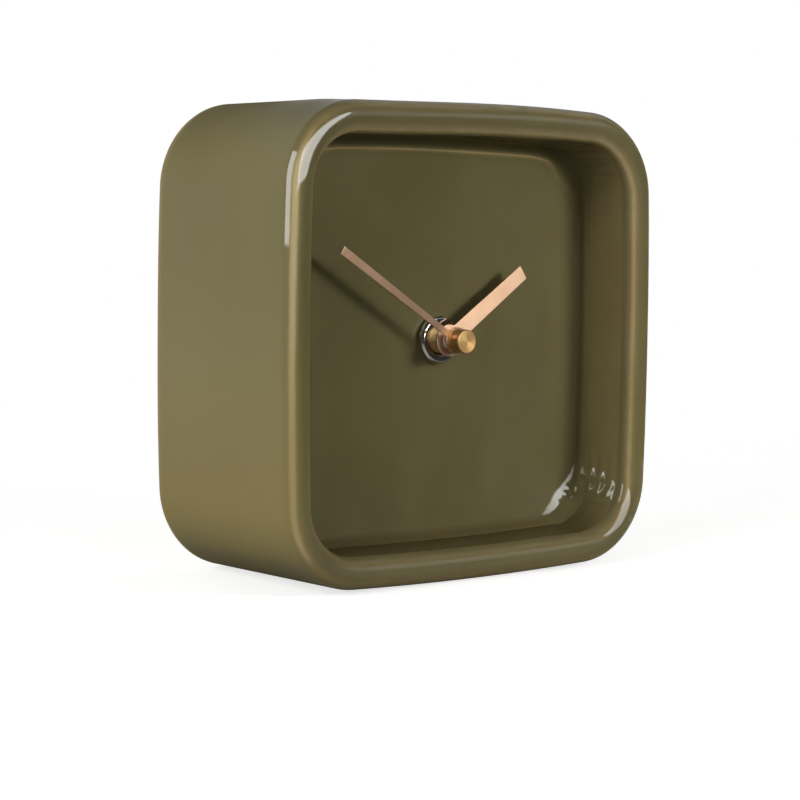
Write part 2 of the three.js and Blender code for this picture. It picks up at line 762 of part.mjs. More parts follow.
// The bridge that holds the rear pivots, seated on four posts of the tray.
function trainBridge() {
  const [lowLeft, lowRight, left, right] = bridgePosts;
  const reach = postRadius + 0.6;
  const shape = new THREE.Shape([
    new THREE.Vector2(lowLeft[0] - reach, lowLeft[1] - reach / 2),
    new THREE.Vector2(lowLeft[0] - reach / 2, lowLeft[1] - reach),
    new THREE.Vector2(lowRight[0] + reach / 2, lowRight[1] - reach),
    new THREE.Vector2(lowRight[0] + reach, lowRight[1] - reach / 2),
    new THREE.Vector2(right[0] + reach, right[1] + reach),
    new THREE.Vector2(rotorAt[0] + statorHole, statorTop),
    new THREE.Vector2(rotorAt[0] - statorHole, statorTop),
    new THREE.Vector2(thirdAt[0], thirdAt[1] + 4 * bossRadius),
    new THREE.Vector2(left[0], left[1] + reach),
    new THREE.Vector2(left[0] - reach, left[1]),
  ]);
  for (const at of [[0, 0], thirdAt, fifthAt, rotorAt]) {
    shape.holes.push(roundHole(pivotRadius + runningGap, at));
  }
  for (const at of bridgePosts) shape.holes.push(roundHole(postPinRadius + runningGap, at));
  shape.holes.push(roundHole(knobShaftRadius + runningGap, knobAt));
  return plate(shape, bridgeY, bridgeThickness, 4);
}

// Soft iron plate with the rotor's hole, and an arm at each end for the coil's core.
function statorPlate() {
  const left = coilX - coreHalf;
  const right = coilX + coreHalf;
  const top = coilZ + coreHeight / 2;
  const shape = new THREE.Shape([
    new THREE.Vector2(left, statorBottom + 2),
    new THREE.Vector2(rotorAt[0] - 2 * statorHole, statorBottom),
    new THREE.Vector2(right, statorBottom),
    new THREE.Vector2(right, top),
    new THREE.Vector2(right - statorArm, top),
    new THREE.Vector2(right - statorArm, statorTop),
    new THREE.Vector2(left + statorArm, statorTop),
    new THREE.Vector2(left + statorArm, top),
    new THREE.Vector2(left, top),
  ]);
  shape.holes.push(roundHole(statorHole, rotorAt));
  return plate(shape, statorY, statorThickness, 8);
}

function coilCore() {
  const z0 = coilZ - coreHeight / 2;
  return block(coilX - coreHalf, coilX + coreHalf, coreY, coreY + statorThickness, z0, z0 + coreHeight);
}

// A box outline in y and z round the core, grown by a margin.
function coreBox(marginY, marginZ, radius) {
  const middle = coreY + statorThickness / 2;
  const halfY = statorThickness / 2 + marginY;
  const halfZ = coreHeight / 2 + marginZ;
  return roundedBox(middle - halfY, middle + halfY, coilZ - halfZ, coilZ + halfZ, radius);
}

function coilBobbin() {
  const flangeY = (coilDepth - statorThickness) / 2;
  const flangeZ = (coilHeight - coreHeight) / 2;
  const flanges = [-1, 1].map((side) =>
    bar(coreBox(flangeY, flangeZ, 0.5), coilX + (side * (coilLength + bobbinFlange)) / 2, bobbinFlange),
  );
  const spool = bar(coreBox(bobbinWall, bobbinWall, 0.2), coilX, coilLength + bobbinFlange);
  const slot = bar(coreBox(seatGap, seatGap, 0.05), coilX, coilLength + 4 * bobbinFlange);
  return cut(join(spool, ...flanges), slot);
}

function coilWinding() {
  const spread = 0.3;
  const outerY = (coilDepth - statorThickness) / 2 - spread;
  const outerZ = (coilHeight - coreHeight) / 2 - spread;
  const turns = coreBox(outerY, outerZ, 1.2);
  const hollow = bobbinWall + seatGap;
  turns.holes.push(coreBox(hollow, hollow, 0.3));
  return bar(turns, coilX, coilLength - 2 * seatGap);
}

function circuitBoard() {
  const z0 = boardZ - boardHeight / 2;
  const shape = roundedBox(boardLeft, boardRight, z0, z0 + boardHeight, 0.6);
  for (const x of [boardLeft + 1.6, boardRight - 1.6]) shape.holes.push(roundHole(0.6, [x, z0 + 1.6]));
  return plate(shape, statorY, boardThickness, 3);
}

const boardBackY = statorY + boardThickness + seatGap;

function chip() {
  const profile = sectionArc(0, 0, 1, -Math.PI / 2, 0, 3).map(([r, h]) => [
    chipRadius * (1 + h),
    boardBackY + chipHeight * r,
  ]);
  return turned([[0, boardBackY], ...profile.slice(1).reverse(), [0, boardBackY + chipHeight]], 16);
}

function quartzCrystal() {
  const half = crystalLength / 2;
  const can = turned([[0, -half], [crystalRadius, -half], [crystalRadius, half], [0, half]], 14);
  return can.rotateX(Math.PI / 2);
}

// A bent strip of sheet metal: an open line of x and z points, given the sheet's thickness.
function strip(points, thickness) {
  const side = (direction) =>
    points.map(([x, z], i) => {
      const before = points[Math.max(i - 1, 0)];
      const after = points[Math.min(i + 1, points.length - 1)];
      const a = Math.atan2(z - before[1], x - before[0]);
      const b = Math.atan2(after[1] - z, after[0] - x);
      const into = i === 0 ? b : a;
      const out = i === points.length - 1 ? a : b;
      const normal = (into + out) / 2 + Math.PI / 2;
      const reach = (direction * thickness) / 2 / Math.cos((out - into) / 2);
      return new THREE.Vector2(x + reach * Math.cos(normal), z + reach * Math.sin(normal));
    });
  return new THREE.Shape([...side(1), ...side(-1).reverse()]);
}

const railZ = bayTop + bayWall + seatGap + contactThickness / 2;
const tailY = coverY - coverLip / 2 - 3 * seatGap - contactWidth;
const boardFoot = boardZ - boardHeight / 2 - seatGap;

// Sheet contact at the battery's raised end. Its tail runs over the bay's wall to the board.
function positiveContact() {
  const x = trayHalf - trayWall - seatGap - contactThickness / 2;
  const turnX = boardLeft + 1;
  const low = batteryZ - batteryRadius / 2;
  const blade = strip([[x, low], [x, bayTop - seatGap]], contactThickness);
  const tail = strip([[x, batteryZ], [x, railZ], [turnX, railZ], [turnX, boardFoot]], contactThickness);
  return join(
    plate(blade, batteryY - contactWidth, tailY - batteryY + contactWidth + weld),
    plate(tail, tailY, contactWidth),
  );
}

// Sprung contact at the battery's flat end: a bowed leaf on a blade, and a straight tail to the board.
function negativeContact() {
  const x = -trayHalf + trayWall + seatGap + contactThickness / 2;
  const low = batteryZ - batteryRadius * 0.7;
  const bow = springTravel + trayWall - 3 * seatGap - 2 * contactThickness;
  const leaf = strip(
    [
      [x, low],
      [x + bow * 0.6, low - 0.2],
      [x + bow, low + batteryRadius * 0.5],
      [x + bow * 0.8, batteryZ + batteryRadius * 0.3],
    ],
    contactThickness,
  );
  const blade = strip([[x, low - 0.1], [x, boardZ], [boardLeft - seatGap, boardZ]], contactThickness);
  const foot = strip([[x, low - 0.1], [x, bayTop - seatGap]], contactThickness);
  return join(
    plate(leaf, batteryY - contactWidth / 2, contactWidth),
    plate(blade, tailY, contactWidth),
    plate(foot, batteryY - contactWidth, tailY - batteryY + contactWidth + weld),
  );
}

// Round cell, type AA, lying along x with its raised end towards +x.
function battery() {
  const nub = 1;
  const nubRadius = 2.75;
  const half = batteryLength / 2;
  const shoulder = 0.6;
  const profile = [
    [0, -half],
    [batteryRadius * 0.62, -half],
    [batteryRadius * 0.66, -half + 0.2],
    [batteryRadius - shoulder, -half + 0.2],
    [batteryRadius, -half + shoulder],
    [batteryRadius, half - nub - shoulder],
    [batteryRadius - shoulder, half - nub],
    [nubRadius, half - nub],
    [nubRadius, half - 0.3],
    [nubRadius - 0.3, half],
    [0, half],
  ];
  return turned(profile, 20).rotateZ(-Math.PI / 2);
}

const clock = new THREE.Group();
clock.name = "clock";
clock.position.z = shaftZ;

function add(name, geometry, material, [x, z] = [0, 0], y = 0) {
  const mesh = new THREE.Mesh(geometry, material);
  mesh.name = name;
  mesh.position.set(x, y, z);
  clock.add(mesh);
  return mesh;
}

add("ceramic_case", ceramicCase(), glaze);
add("ring_nut", ringNut(), chrome);
add("rubber_washer", rubberWasher(), rubber);
add("threaded_bush", threadedBush(), brass);

const minutes = 60 * shownHours + shownMinutes;
const hourHand = add(
  "hour_hand",
  hand(
    hourHubRadius,
    hourPipeRadius + seatGap,
    hourHandLength,
    hourHandWidth,
    hourTipWidth,
    dialY - hourHandHeight,
    hourCollarLength,
  ),
  roseGold,
);
hourHand.rotation.y = (minutes / 720) * 2 * Math.PI;
const minuteHand = add(
  "minute_hand",
  hand(
    minuteHubRadius,
    minuteArborRadius + seatGap,
    minuteHandLength,
    minuteHandWidth,
    minuteTipWidth,
    dialY - minuteHandHeight,
    minuteCollarLength,
  ),
  roseGold,
);
minuteHand.rotation.y = (minutes / 60) * 2 * Math.PI;
add("cap_nut", capNut(), brass);

add("movement_tray", movementTray(), blackPlastic);
add("movement_cover", movementCover(), blackPlastic);
add("train_bridge", trainBridge(), whitePlastic);
add("hour_wheel", hourWheel(), whitePlastic);
add("minute_arbor", minuteArbor(), brass);
add("centre_wheel", centreWheel(), whitePlastic);
add("clutch_spring", clutchSpring(), steel);
add("minute_wheel", minuteWheel(), whitePlastic, minuteAt);
add("third_wheel", thirdWheel(), whitePlastic, thirdAt);
add("second_wheel", secondWheel(), whitePlastic);
add("second_arbor", secondArbor(), steel);
add("fifth_wheel", fifthWheel(), whitePlastic, fifthAt);
add("rotor_pinion", rotorPinion(), whitePlastic, rotorAt);
add("rotor_magnet", rotorMagnet(), steel, rotorAt);
add("setting_knob", settingKnob(), whitePlastic, knobAt);
add("stator_plate", statorPlate(), steel);
add("coil_core", coilCore(), steel);
add("coil_bobbin", coilBobbin(), whitePlastic);
add("coil_winding", coilWinding(), copper);
add("circuit_board", circuitBoard(), boardGreen);
add("driver_chip", chip(), blackPlastic, [boardX - 2.4, boardZ]);
add(
  "quartz_crystal",
  quartzCrystal(),
  steel,
  [boardX + 3, boardZ],
  boardBackY + crystalRadius,
);
add("positive_contact", positiveContact(), steel);
add("negative_contact", negativeContact(), steel);
add("battery", battery(), batterySleeve, [batteryX, batteryZ], batteryY);

const root = new THREE.Group();
root.name = "ceramic_desk_clock";
root.add(clock);

export default root;
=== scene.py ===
import math
import bmesh
import bpy
import numpy as np
from mathutils import Matrix, Vector


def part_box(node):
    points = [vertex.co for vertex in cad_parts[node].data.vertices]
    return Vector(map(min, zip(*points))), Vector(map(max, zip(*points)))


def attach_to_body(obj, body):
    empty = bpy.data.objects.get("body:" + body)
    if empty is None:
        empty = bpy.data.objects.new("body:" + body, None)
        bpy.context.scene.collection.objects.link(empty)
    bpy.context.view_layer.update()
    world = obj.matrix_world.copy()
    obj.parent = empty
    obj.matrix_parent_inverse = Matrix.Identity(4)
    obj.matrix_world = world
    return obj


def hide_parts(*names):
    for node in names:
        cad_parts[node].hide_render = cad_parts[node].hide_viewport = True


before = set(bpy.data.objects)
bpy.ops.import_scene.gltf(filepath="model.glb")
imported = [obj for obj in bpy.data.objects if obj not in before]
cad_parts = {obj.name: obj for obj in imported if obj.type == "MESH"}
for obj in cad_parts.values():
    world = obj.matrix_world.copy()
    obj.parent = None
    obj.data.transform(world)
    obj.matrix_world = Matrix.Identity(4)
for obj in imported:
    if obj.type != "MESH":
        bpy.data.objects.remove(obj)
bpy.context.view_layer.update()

# Lengths in the dictionaries are in millimetres. Blender gets them in metres.
mm = 0.001
shaftZ = 68.326  # height of the hands' shaft over the table
dialY = -10.65  # face of the dial


# shader sums


def summing(operation, turned=False):
    # an operator as a maths node; turned where the wire stands on the right
    def made(self, other):
        pair = (other, self) if turned else (self, other)
        return self.recipe.maths(operation, *pair)

    return made


class Wire:
    # one value in a material, so that sums can be written as sums
    def __init__(self, recipe, socket):
        self.recipe = recipe
        self.socket = socket

    __add__, __radd__ = summing("ADD"), summing("ADD", True)
    __sub__, __rsub__ = summing("SUBTRACT"), summing("SUBTRACT", True)
    __mul__, __rmul__ = summing("MULTIPLY"), summing("MULTIPLY", True)
    __pow__ = summing("POWER")

    def clipped(self):
        return self.recipe.maths("ADD", self, 0, clamp=True)

    def most(self, other):
        return self.recipe.maths("MAXIMUM", self, other)

    def output(self, which):
        # another output of the same node
        return Wire(self.recipe, self.socket.node.outputs[which])


class Recipe:
    # a node tree that is filled one node at a time
    def __init__(self, tree):
        self.tree = tree
        tree.nodes.clear()

    def node(self, kind, settings=None, sockets=None, out=0):
        made = self.tree.nodes.new("ShaderNode" + kind)
        for name, value in (settings or {}).items():
            setattr(made, name, value)
        for name, value in (sockets or {}).items():
            socket = made.inputs[name]
            if isinstance(value, Wire):
                self.tree.links.new(value.socket, socket)
            else:
                socket.default_value = value
        return Wire(self, made.outputs[out]) if made.outputs else made

    def maths(self, operation, a, b, clamp=False):
        settings = {"operation": operation, "use_clamp": clamp}
        return self.node("Math", settings, {0: a, 1: b})

    def mixed(self, factor, *pair):
        # two colours, each a wire or written as 0 to 255
        a, b = (one if isinstance(one, Wire) else linear(*one) for one in pair)
        return self.node("Mix", {"data_type": "RGBA"}, {0: factor, 6: a, 7: b}, 2)

    def ranged(self, value, low, high, toLow=0.0, toHigh=1.0, smooth=False):
        kind = "SMOOTHSTEP" if smooth else "LINEAR"
        sockets = {
            "Value": value, "From Min": low, "From Max": high, "To Min": toLow, "To Max": toHigh,
        }
        return self.node("MapRange", {"interpolation_type": kind, "clamp": True}, sockets)

    def place(self, offset=(0, 0, 0), stretch=(1, 1, 1)):
        # where a point is on its object, moved and then stretched
        here = self.node("TexCoord", out=3)
        sockets = {"Vector": here, "Location": offset, "Scale": stretch}
        return self.node("Mapping", {}, sockets)

    def fromShaft(self):
        return self.place(offset=(0, 0, -shaftZ * mm))

    def apart(self, vector):
        # x, y and z of a vector
        x = self.node("SeparateXYZ", {}, {0: vector})
        return x, x.output(1), x.output(2)

    def attribute(self, name):
        return self.node("Attribute", {"attribute_name": name}, out=2)

    def principled(self, sockets):
        self.surface(self.node("BsdfPrincipled", {}, sockets))

    def noise(self, where, scale, detail, roughness, distortion=0.0):
        sockets = {
            "Vector": where, "Scale": scale, "Detail": detail,
            "Roughness": roughness, "Distortion": distortion,
        }
        return self.node("TexNoise", {}, sockets)

    def bump(self, height, strength, distance, normal=None):
        sockets = {"Height": height, "Strength": strength, "Distance": distance}
        if normal is not None:
            sockets["Normal"] = normal
        return self.node("Bump", {}, sockets)

    def surface(self, shader):
        self.node("OutputMaterial", {}, {"Surface": shader})


def linear(red, green, blue):
    # sRGB written as 0 to 255, as Blender's linear colour
    def one(value):
        share = value / 255
        return share / 12.92 if share <= 0.04045 else ((share + 0.055) / 1.055) ** 2.4

    return (one(red), one(green), one(blue), 1.0)


def newMaterial(name):
    material = bpy.data.materials.new(name)
    material.use_nodes = True
    return material, Recipe(material.node_tree)


# mesh helpers


def gridFaces(rows, columns, closeRows, closeColumns):
    # quads between neighbouring rows and columns of a grid of points, wrapping round where asked
    r = np.arange(rows if closeRows else rows - 1)
    c = np.arange(columns if closeColumns else columns - 1)
    here, there = np.meshgrid(r, c, indexing="ij")
    nextRow, nextColumn = (here + 1) % rows, (there + 1) % columns
    corners = [here * columns + there, here * columns + nextColumn,
               nextRow * columns + nextColumn, nextRow * columns + there]
    return np.stack(corners, -1).reshape(-1, 4)


def shadeSmooth(mesh, sharp):
    # edges steeper than the sharp angle in degrees stay hard
    mesh.polygons.foreach_set("use_smooth", np.ones(len(mesh.polygons), bool))
    mesh.set_sharp_from_angle(angle=math.radians(sharp))


def buildMesh(name, points, faces, sharp=35, caps=()):
    # points in millimetres, quads as rows of four, caps as lists of point numbers
    mesh = bpy.data.meshes.new(name)
    mesh.from_pydata((points * mm).tolist(), [], faces.tolist() + [list(c) for c in caps])
    mesh.validate()
    shadeSmooth(mesh, sharp)
    return mesh


def newObject(name, data):
    # an object at the origin, in the scene
    made = bpy.data.objects.new(name, data)
    bpy.context.scene.collection.objects.link(made)
    return made


def addPiece(name, mesh, material, body, slot, *nodes):
    piece = newObject(name, mesh)
    mesh.materials.append(material)
    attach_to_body(piece, body)
    if nodes:
        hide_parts(*nodes)
    return piece


def attach(mesh, name, values):
    # one number for each point of a mesh, which its material reads
    values = np.asarray(values, np.float32).ravel()
    mesh.attributes.new(name, "FLOAT", "POINT").data.foreach_set("value", values)


def turnAngles(count):
    # equal steps of a full turn
    return np.linspace(0, 2 * np.pi, count, endpoint=False)


def rise(value, start=0, length=1):
    # a straight way from 0 at the start to 1 after the length, and level before and beyond
    return np.clip((value - start) / length, 0, 1)


def smooth(share):
    # an S-shaped way from 0 to 1
    return share**2 * (3 - 2 * share)


def bell(value, centre, width):
    # 1 at the centre, fading to both sides
    return np.exp(-((value - centre) / width) ** 2)


def onCircle(angle):
    # an angle's cosine and sine, as a point or direction in a plane
    return np.stack([np.cos(angle), np.sin(angle)], -1)


def quarterTurns(points):
    # points in a plane and their copies turned by one, two and three quarters
    turn = np.array([[0, 1], [-1, 0]])
    return np.vstack([np.asarray(points) @ np.linalg.matrix_power(turn, k) for k in range(4)])


def outwardOf(outline):
    # direction away from an outline that runs against the clock: its tangent, turned a quarter
    ahead = np.roll(outline, -1, 0) - np.roll(outline, 1, 0)
    out = np.stack([ahead[:, 1], -ahead[:, 0]], -1)
    return out / np.linalg.norm(out, axis=1, keepdims=True)


def standing(rows):
    # rows of points in x and height over the shaft, each row at its own y
    return np.array([
        np.stack([flat[:, 0], np.full(len(flat), y), flat[:, 1] + shaftZ], -1) for flat, y in rows
    ])


def fannedMesh(name, grid, ends, sharp=35):
    # rings of points in rows, each closed, with a fan of triangles to a point at either end
    rows, columns = grid.shape[:2]
    first, last, base = rows * columns, rows * columns + 1, (rows - 1) * columns
    caps = [[first, (i + 1) % columns, i] for i in range(columns)]
    caps += [[last, base + i, base + (i + 1) % columns] for i in range(columns)]
    points = np.vstack([grid.reshape(-1, 3), ends])
    return buildMesh(name, points, gridFaces(rows, columns, False, True), sharp, caps)


def aroundY(radius, y, angle, x=0):
    # points at a radius round an axis along y, at the shaft's height
    radius, y, angle = np.broadcast_arrays(radius, y, angle)
    return np.stack([x + radius * np.cos(angle), y, shaftZ + radius * np.sin(angle)], -1)


def turnedMesh(name, profile, segments):
    # a profile of radius and y turned round the shaft: a solid when it starts and ends on the axis,
    # or else a closed ring
    profile = np.asarray(profile, float)
    grid = aroundY(profile[:, :1], profile[:, 1:], turnAngles(segments))
    if profile[0, 0] == 0:
        return fannedMesh(name, grid[1:-1], [grid[0, 0], grid[-1, 0]])
    faces = gridFaces(len(grid), segments, True, True)
    return buildMesh(name, grid.reshape(-1, 3), faces)


def roundedProfile(corners, radius, steps=4, mostOfEdge=0.45):
    # a profile whose inner corners are rounded: each gives way to a quadratic curve that starts and
    # ends at the radius from it, or nearer where an edge is short
    corners = np.asarray(corners, float)
    made = [corners[0]]
    for i in range(1, len(corners) - 1):
        before, here, after = corners[i - 1], corners[i], corners[i + 1]
        back, ahead = before - here, after - here
        backLength, aheadLength = np.linalg.norm(back), np.linalg.norm(ahead)
        reach = min(radius, backLength * mostOfEdge, aheadLength * mostOfEdge)
        start = here + back / backLength * reach
        end = here + ahead / aheadLength * reach
        share = np.linspace(0, 1, steps + 1)[:, None]
        made += list((1 - share) ** 2 * start + 2 * share * (1 - share) * here + share**2 * end)
    made.append(corners[-1])
    return [tuple(p) for p in made]


# ceramic case; steps are counts of points

caseSizes = {
    "size": 135, "depth": 65.7, "cornerRadius": 24.8, "sideRadius": 1200, "sideFlare": 0.8,
    "rimRadius": 4.6, "recessDraft": 0.5, "coveRadius": 3.4, "cornerCove": 7.5, "cornerReach": 27,
    "dialThickness": 5.5, "rearWall": 6, "rearFillet": 4, "backEdge": 1.3,
    "shaftHole": 4.3, "holeEdge": 0.5,
    "cornerSteps": 56, "sideSteps": 26, "rimSteps": 44, "wallSteps": 30, "coveSteps": 18,
    "filletSteps": 12, "edgeSteps": 8, "innerEdgeSteps": 5, "rearWallSteps": 10,
    "outerWallSteps": 26, "holeSteps": 5, "dialSteps": 40, "floorSteps": 24,
}

# how firing and glaze make the form uneven
flowSizes = {
    "waveHeight": 0.09, "waveFrom": 1.5, "waveEase": 8,
    "sag": 0.72, "sagAt": -30, "sagReach": 30, "sagFromY": -12, "sagEaseY": 16,
    "sagFromZ": 100, "sagEaseZ": 30, "slim": 0.6,
    "dripHeight": 0.16, "dripWidth": 1.15, "dripWander": 1.3, "wanderWidth": 3.1,
    "fineDripShare": 0.6, "fineDripWidth": 0.72, "dripSlant": 2.5,
    "runHeight": 0.62, "runWidth": 4.4, "runWander": 1.2, "runWanderWidth": 2.3,
    "runsAt": 17, "runsReach": 7, "swell": 1.7, "swellFrom": 24, "swellEase": 12,
}


def caseOutline():
    # Middle line of the case in x and z, with its outward direction: four side arcs of a large
    # radius, tangent to four corner arcs. An inset moves a point against its direction.
    c = caseSizes
    cornerAt = c["size"] / 2 - c["cornerRadius"]
    lean = math.asin(cornerAt / (c["sideRadius"] - c["cornerRadius"]))
    sideAt = cornerAt - (c["sideRadius"] - c["cornerRadius"]) * math.cos(lean)
    side = np.linspace(-lean, lean, c["sideSteps"], endpoint=False)
    corner = np.linspace(lean, np.pi / 2 - lean, c["cornerSteps"], endpoint=False)
    side, corner = onCircle(side), onCircle(corner)
    sidePoint = side * c["sideRadius"] + [sideAt, 0]
    cornerPoint = corner * c["cornerRadius"] + cornerAt
    pairs = (sidePoint, cornerPoint), (side, corner)
    return [quarterTurns(np.vstack(pair)) for pair in pairs]


def arc(insetAt, yAt, radius, start, end, steps):
    # points (inset, y) on a circle round a centre, from one angle to another
    return radius * onCircle(np.linspace(start, end, steps + 1)) + [insetAt, yAt]


def line(start, end, steps):
    # points between two points, or rings between two rings
    share = np.linspace(0, 1, steps + 1)[1:-1].reshape(-1, *[1] * np.ndim(start))
    return start * (1 - share) + end * share


def caseSections():
    # Lines of (inset, y), called s below. In the corners a bowl with a larger cove takes the place
    # of wall and cove.
    c = caseSizes
    front, back = -c["depth"] / 2, c["depth"] / 2
    rim, edge, fillet = c["rimRadius"], c["backEdge"], c["rearFillet"]
    foot = 2 * rim + c["recessDraft"]
    dialBack = dialY + c["dialThickness"]
    outer = -c["sideFlare"]
    rear = outer + c["rearWall"]
    half = np.pi / 2
    s = {"rim": arc(rim, front + rim, rim, -np.pi, 0, c["rimSteps"])}
    for wall, cove, radius in (("wall", "cove", "coveRadius"), ("bowlWall", "bowl", "cornerCove")):
        radius = c[radius]
        s[cove] = arc(foot + radius, dialY - radius, radius, np.pi, half, c["coveSteps"])
        s[wall] = line(s["rim"][-1], s[cove][0], c["wallSteps"])
    s["fillet"] = arc(rear + fillet, dialBack + fillet, fillet, -half, -np.pi, c["filletSteps"])
    s["backEdge"] = arc(outer + edge, back - edge, edge, half, np.pi, c["edgeSteps"])
    s["innerEdge"] = arc(rear - edge / 2, back - edge / 2, edge / 2, 0, half, c["innerEdgeSteps"])
    s["rearWall"] = line(s["fillet"][-1], s["innerEdge"][0], c["rearWallSteps"])
    s["outerWall"] = line(s["backEdge"][-1], s["rim"][0], c["outerWallSteps"])
    return s


def caseRound():
    # The outline and what varies along it, called t below. The share of the corner is a cosine wave
    # over the way to the nearest corner's middle; the side shares are parts of the direction.
    c = caseSizes
    point, direction = caseOutline()
    around = np.cumsum(np.linalg.norm(point - np.roll(point, 1, 0), axis=1))
    quarter = around[-1] / 4
    toMiddle = np.abs(around - around[c["sideSteps"] + c["cornerSteps"] // 2]) % quarter
    toMiddle = np.minimum(toMiddle, quarter - toMiddle)
    x, z = direction.T
    return {
        "point": point, "direction": direction, "around": around, "toMiddle": toMiddle,
        "corner": np.cos(rise(toMiddle, 0, c["cornerReach"]) * np.pi / 2) ** 2,
        "left": rise(-x), "right": rise(x), "below": rise(-z), "above": rise(z),
    }


def glazeRelief(s, t):
    # what the glaze adds to the inset of rim, wall and cove, fading out at the rim and at the dial
    f = flowSizes
    around, toMiddle = t["around"], t["toMiddle"]
    rim, inside = len(s["rim"]), len(s["wall"]) + len(s["cove"])
    window = np.sin(np.linspace(0, np.pi, inside)) ** 0.7
    window = np.concatenate([np.zeros(rim), window])[:, None]
    # drips in the corners: two sine waves whose phase wanders
    slant = np.linspace(0, f["dripSlant"], len(window))[:, None]
    wander = f["dripWander"] * np.sin(around / f["wanderWidth"])
    drips = np.sin(around / f["dripWidth"] + wander + slant)
    drips = drips + f["fineDripShare"] * np.sin(around / f["fineDripWidth"] + 2.0 - slant)
    relief = f["dripHeight"] * window * t["corner"] ** 2 * drips
    # glaze that has run down the right wall above the lower corner swells there, in ridges
    lowerRight = rise(t["direction"][:, 0], 0.2, 0.5) * (t["point"][:, 1] < 0)
    depth = np.vstack([s["rim"], s["wall"], s["cove"]])[:, 1:2]
    wander = f["runWander"] * np.sin(around / f["runWanderWidth"])
    ridges = f["runHeight"] * np.sin(2 * np.pi * depth / f["runWidth"] + wander)
    ridges = ridges * bell(toMiddle, f["runsAt"], f["runsReach"])
    swell = smooth(rise(-toMiddle, -f["swellFrom"], f["swellEase"]))
    relief += window * smooth(lowerRight) * (f["swell"] * swell + ridges)
    # on the left the rim's inner half is slimmer, eased in from the crest and out along the wall
    crest = rim // 2
    give = [np.zeros(crest), np.linspace(0, 1, rim - crest), np.linspace(1, 0, inside)]
    return relief - f["slim"] * smooth(np.concatenate(give))[:, None] * t["left"]


def carried(t, section, bowl, relief):
    # a section carried round the outline; in the corners it gives way to the bowl
    section = np.repeat(section[:, None], len(t["point"]), 1)
    section = section + (bowl[:, None] - section) * t["corner"][None, :, None]
    inset = section[..., 0] + relief
    flat = t["point"][None] - inset[..., None] * t["direction"][None]
    return np.stack([flat[..., 0], section[..., 1], flat[..., 1]], -1)


def unevenCase(grid, outside):
    # The outside gives way toward the case's middle by a product of two sine waves, and stays flat
    # on the table. The rim sags a little along its top edge, left of the middle.
    f = flowSizes
    x, y, z = (grid[..., i] for i in range(3))
    wave = np.sin(x / 9.0 + y / 13.0 + 0.7) * np.sin(z / 11.0 - y / 17.0)
    wave = f["waveHeight"] * (wave - 1) / 2
    outward = grid - np.array([0, 0, shaftZ])
    outward /= np.linalg.norm(outward, axis=-1, keepdims=True)
    share = rise(z, f["waveFrom"], f["waveEase"])
    grid = grid + outward * (wave * share * outside[:, None])[..., None]
    nose = smooth(rise(-grid[..., 1], -f["sagFromY"], f["sagEaseY"]))
    hang = rise(grid[..., 2], f["sagFromZ"], f["sagEaseZ"])
    hang = hang * bell(grid[..., 0], f["sagAt"], f["sagReach"])
    grid[..., 2] = np.maximum(grid[..., 2] - f["sag"] * nose * hang, 0)
    return grid


# Where the glaze is thin, and where light and shade are painted: two lines along the rim, at angles
# of its arc, the wall and the cove. The rim's lines are partly thin glaze and partly painted
# highlight; the wall is lighter on the right as painted light; the cove's pool is pooled glaze and
# painted shade, and along the top a pale line is a painted reflection. An inner dictionary holds a
# base and what each side of the case adds to it.
thinAndPaintedLightShares = {
    # the outer line is partly thin glaze and partly a painted highlight, strongest on the left
    "outerAt": -2.30, "outerWidth": 0.33, "outerShare": 0.55, "outerLeftHighlight": 1.25, "outerRight": 0.25,
    # the inner line is partly thin glaze; along the top and on the right it is wider and stronger,
    # painted light on the rim's inner side
    "innerAt": {"base": -0.84, "above": 0.2, "right": 0.06, "below": -0.08},
    "innerWidth": {"base": 0.27, "above": 0.15, "right": 0.06, "below": -0.04},
    "innerShare": {"base": 1, "above": 0.25, "right": 0.25, "below": -0.6},
    # the wall is lighter on the right as painted light, darker low down, and lighter toward the rim
    "wall": {"base": 0.16, "below": -1.3, "right": 0.1}, "wallTop": 0.2,
    # the cove's pool is pooled glaze and painted shade in the crease, weaker in the corners and low
    # down
    "poolAndShade": {"base": 1, "corner": -0.5, "below": -0.3},
    # along the top a pale line where the cove meets the dial: a painted reflection of the table
    "dialLine": 1.5, "dialLineWidth": 0.13,
}

# how much of the clear coat's shine is lost, and what is left of it on the dial
dullShares = {
    "wall": 0.5, "rimOuter": 0.6, "rimInner": 0.9, "cove": 0.85, "outside": 0.85,
    "top": 0.75, "topMiddle": 0.17, "topKept": 0.2, "dial": 0.28, "dialMiddle": 0.2,
}


def bySide(t, value):
    # the base and each side's share of its own addition
    return value["base"] + sum(part * t[side] for side, part in value.items() if side != "base")


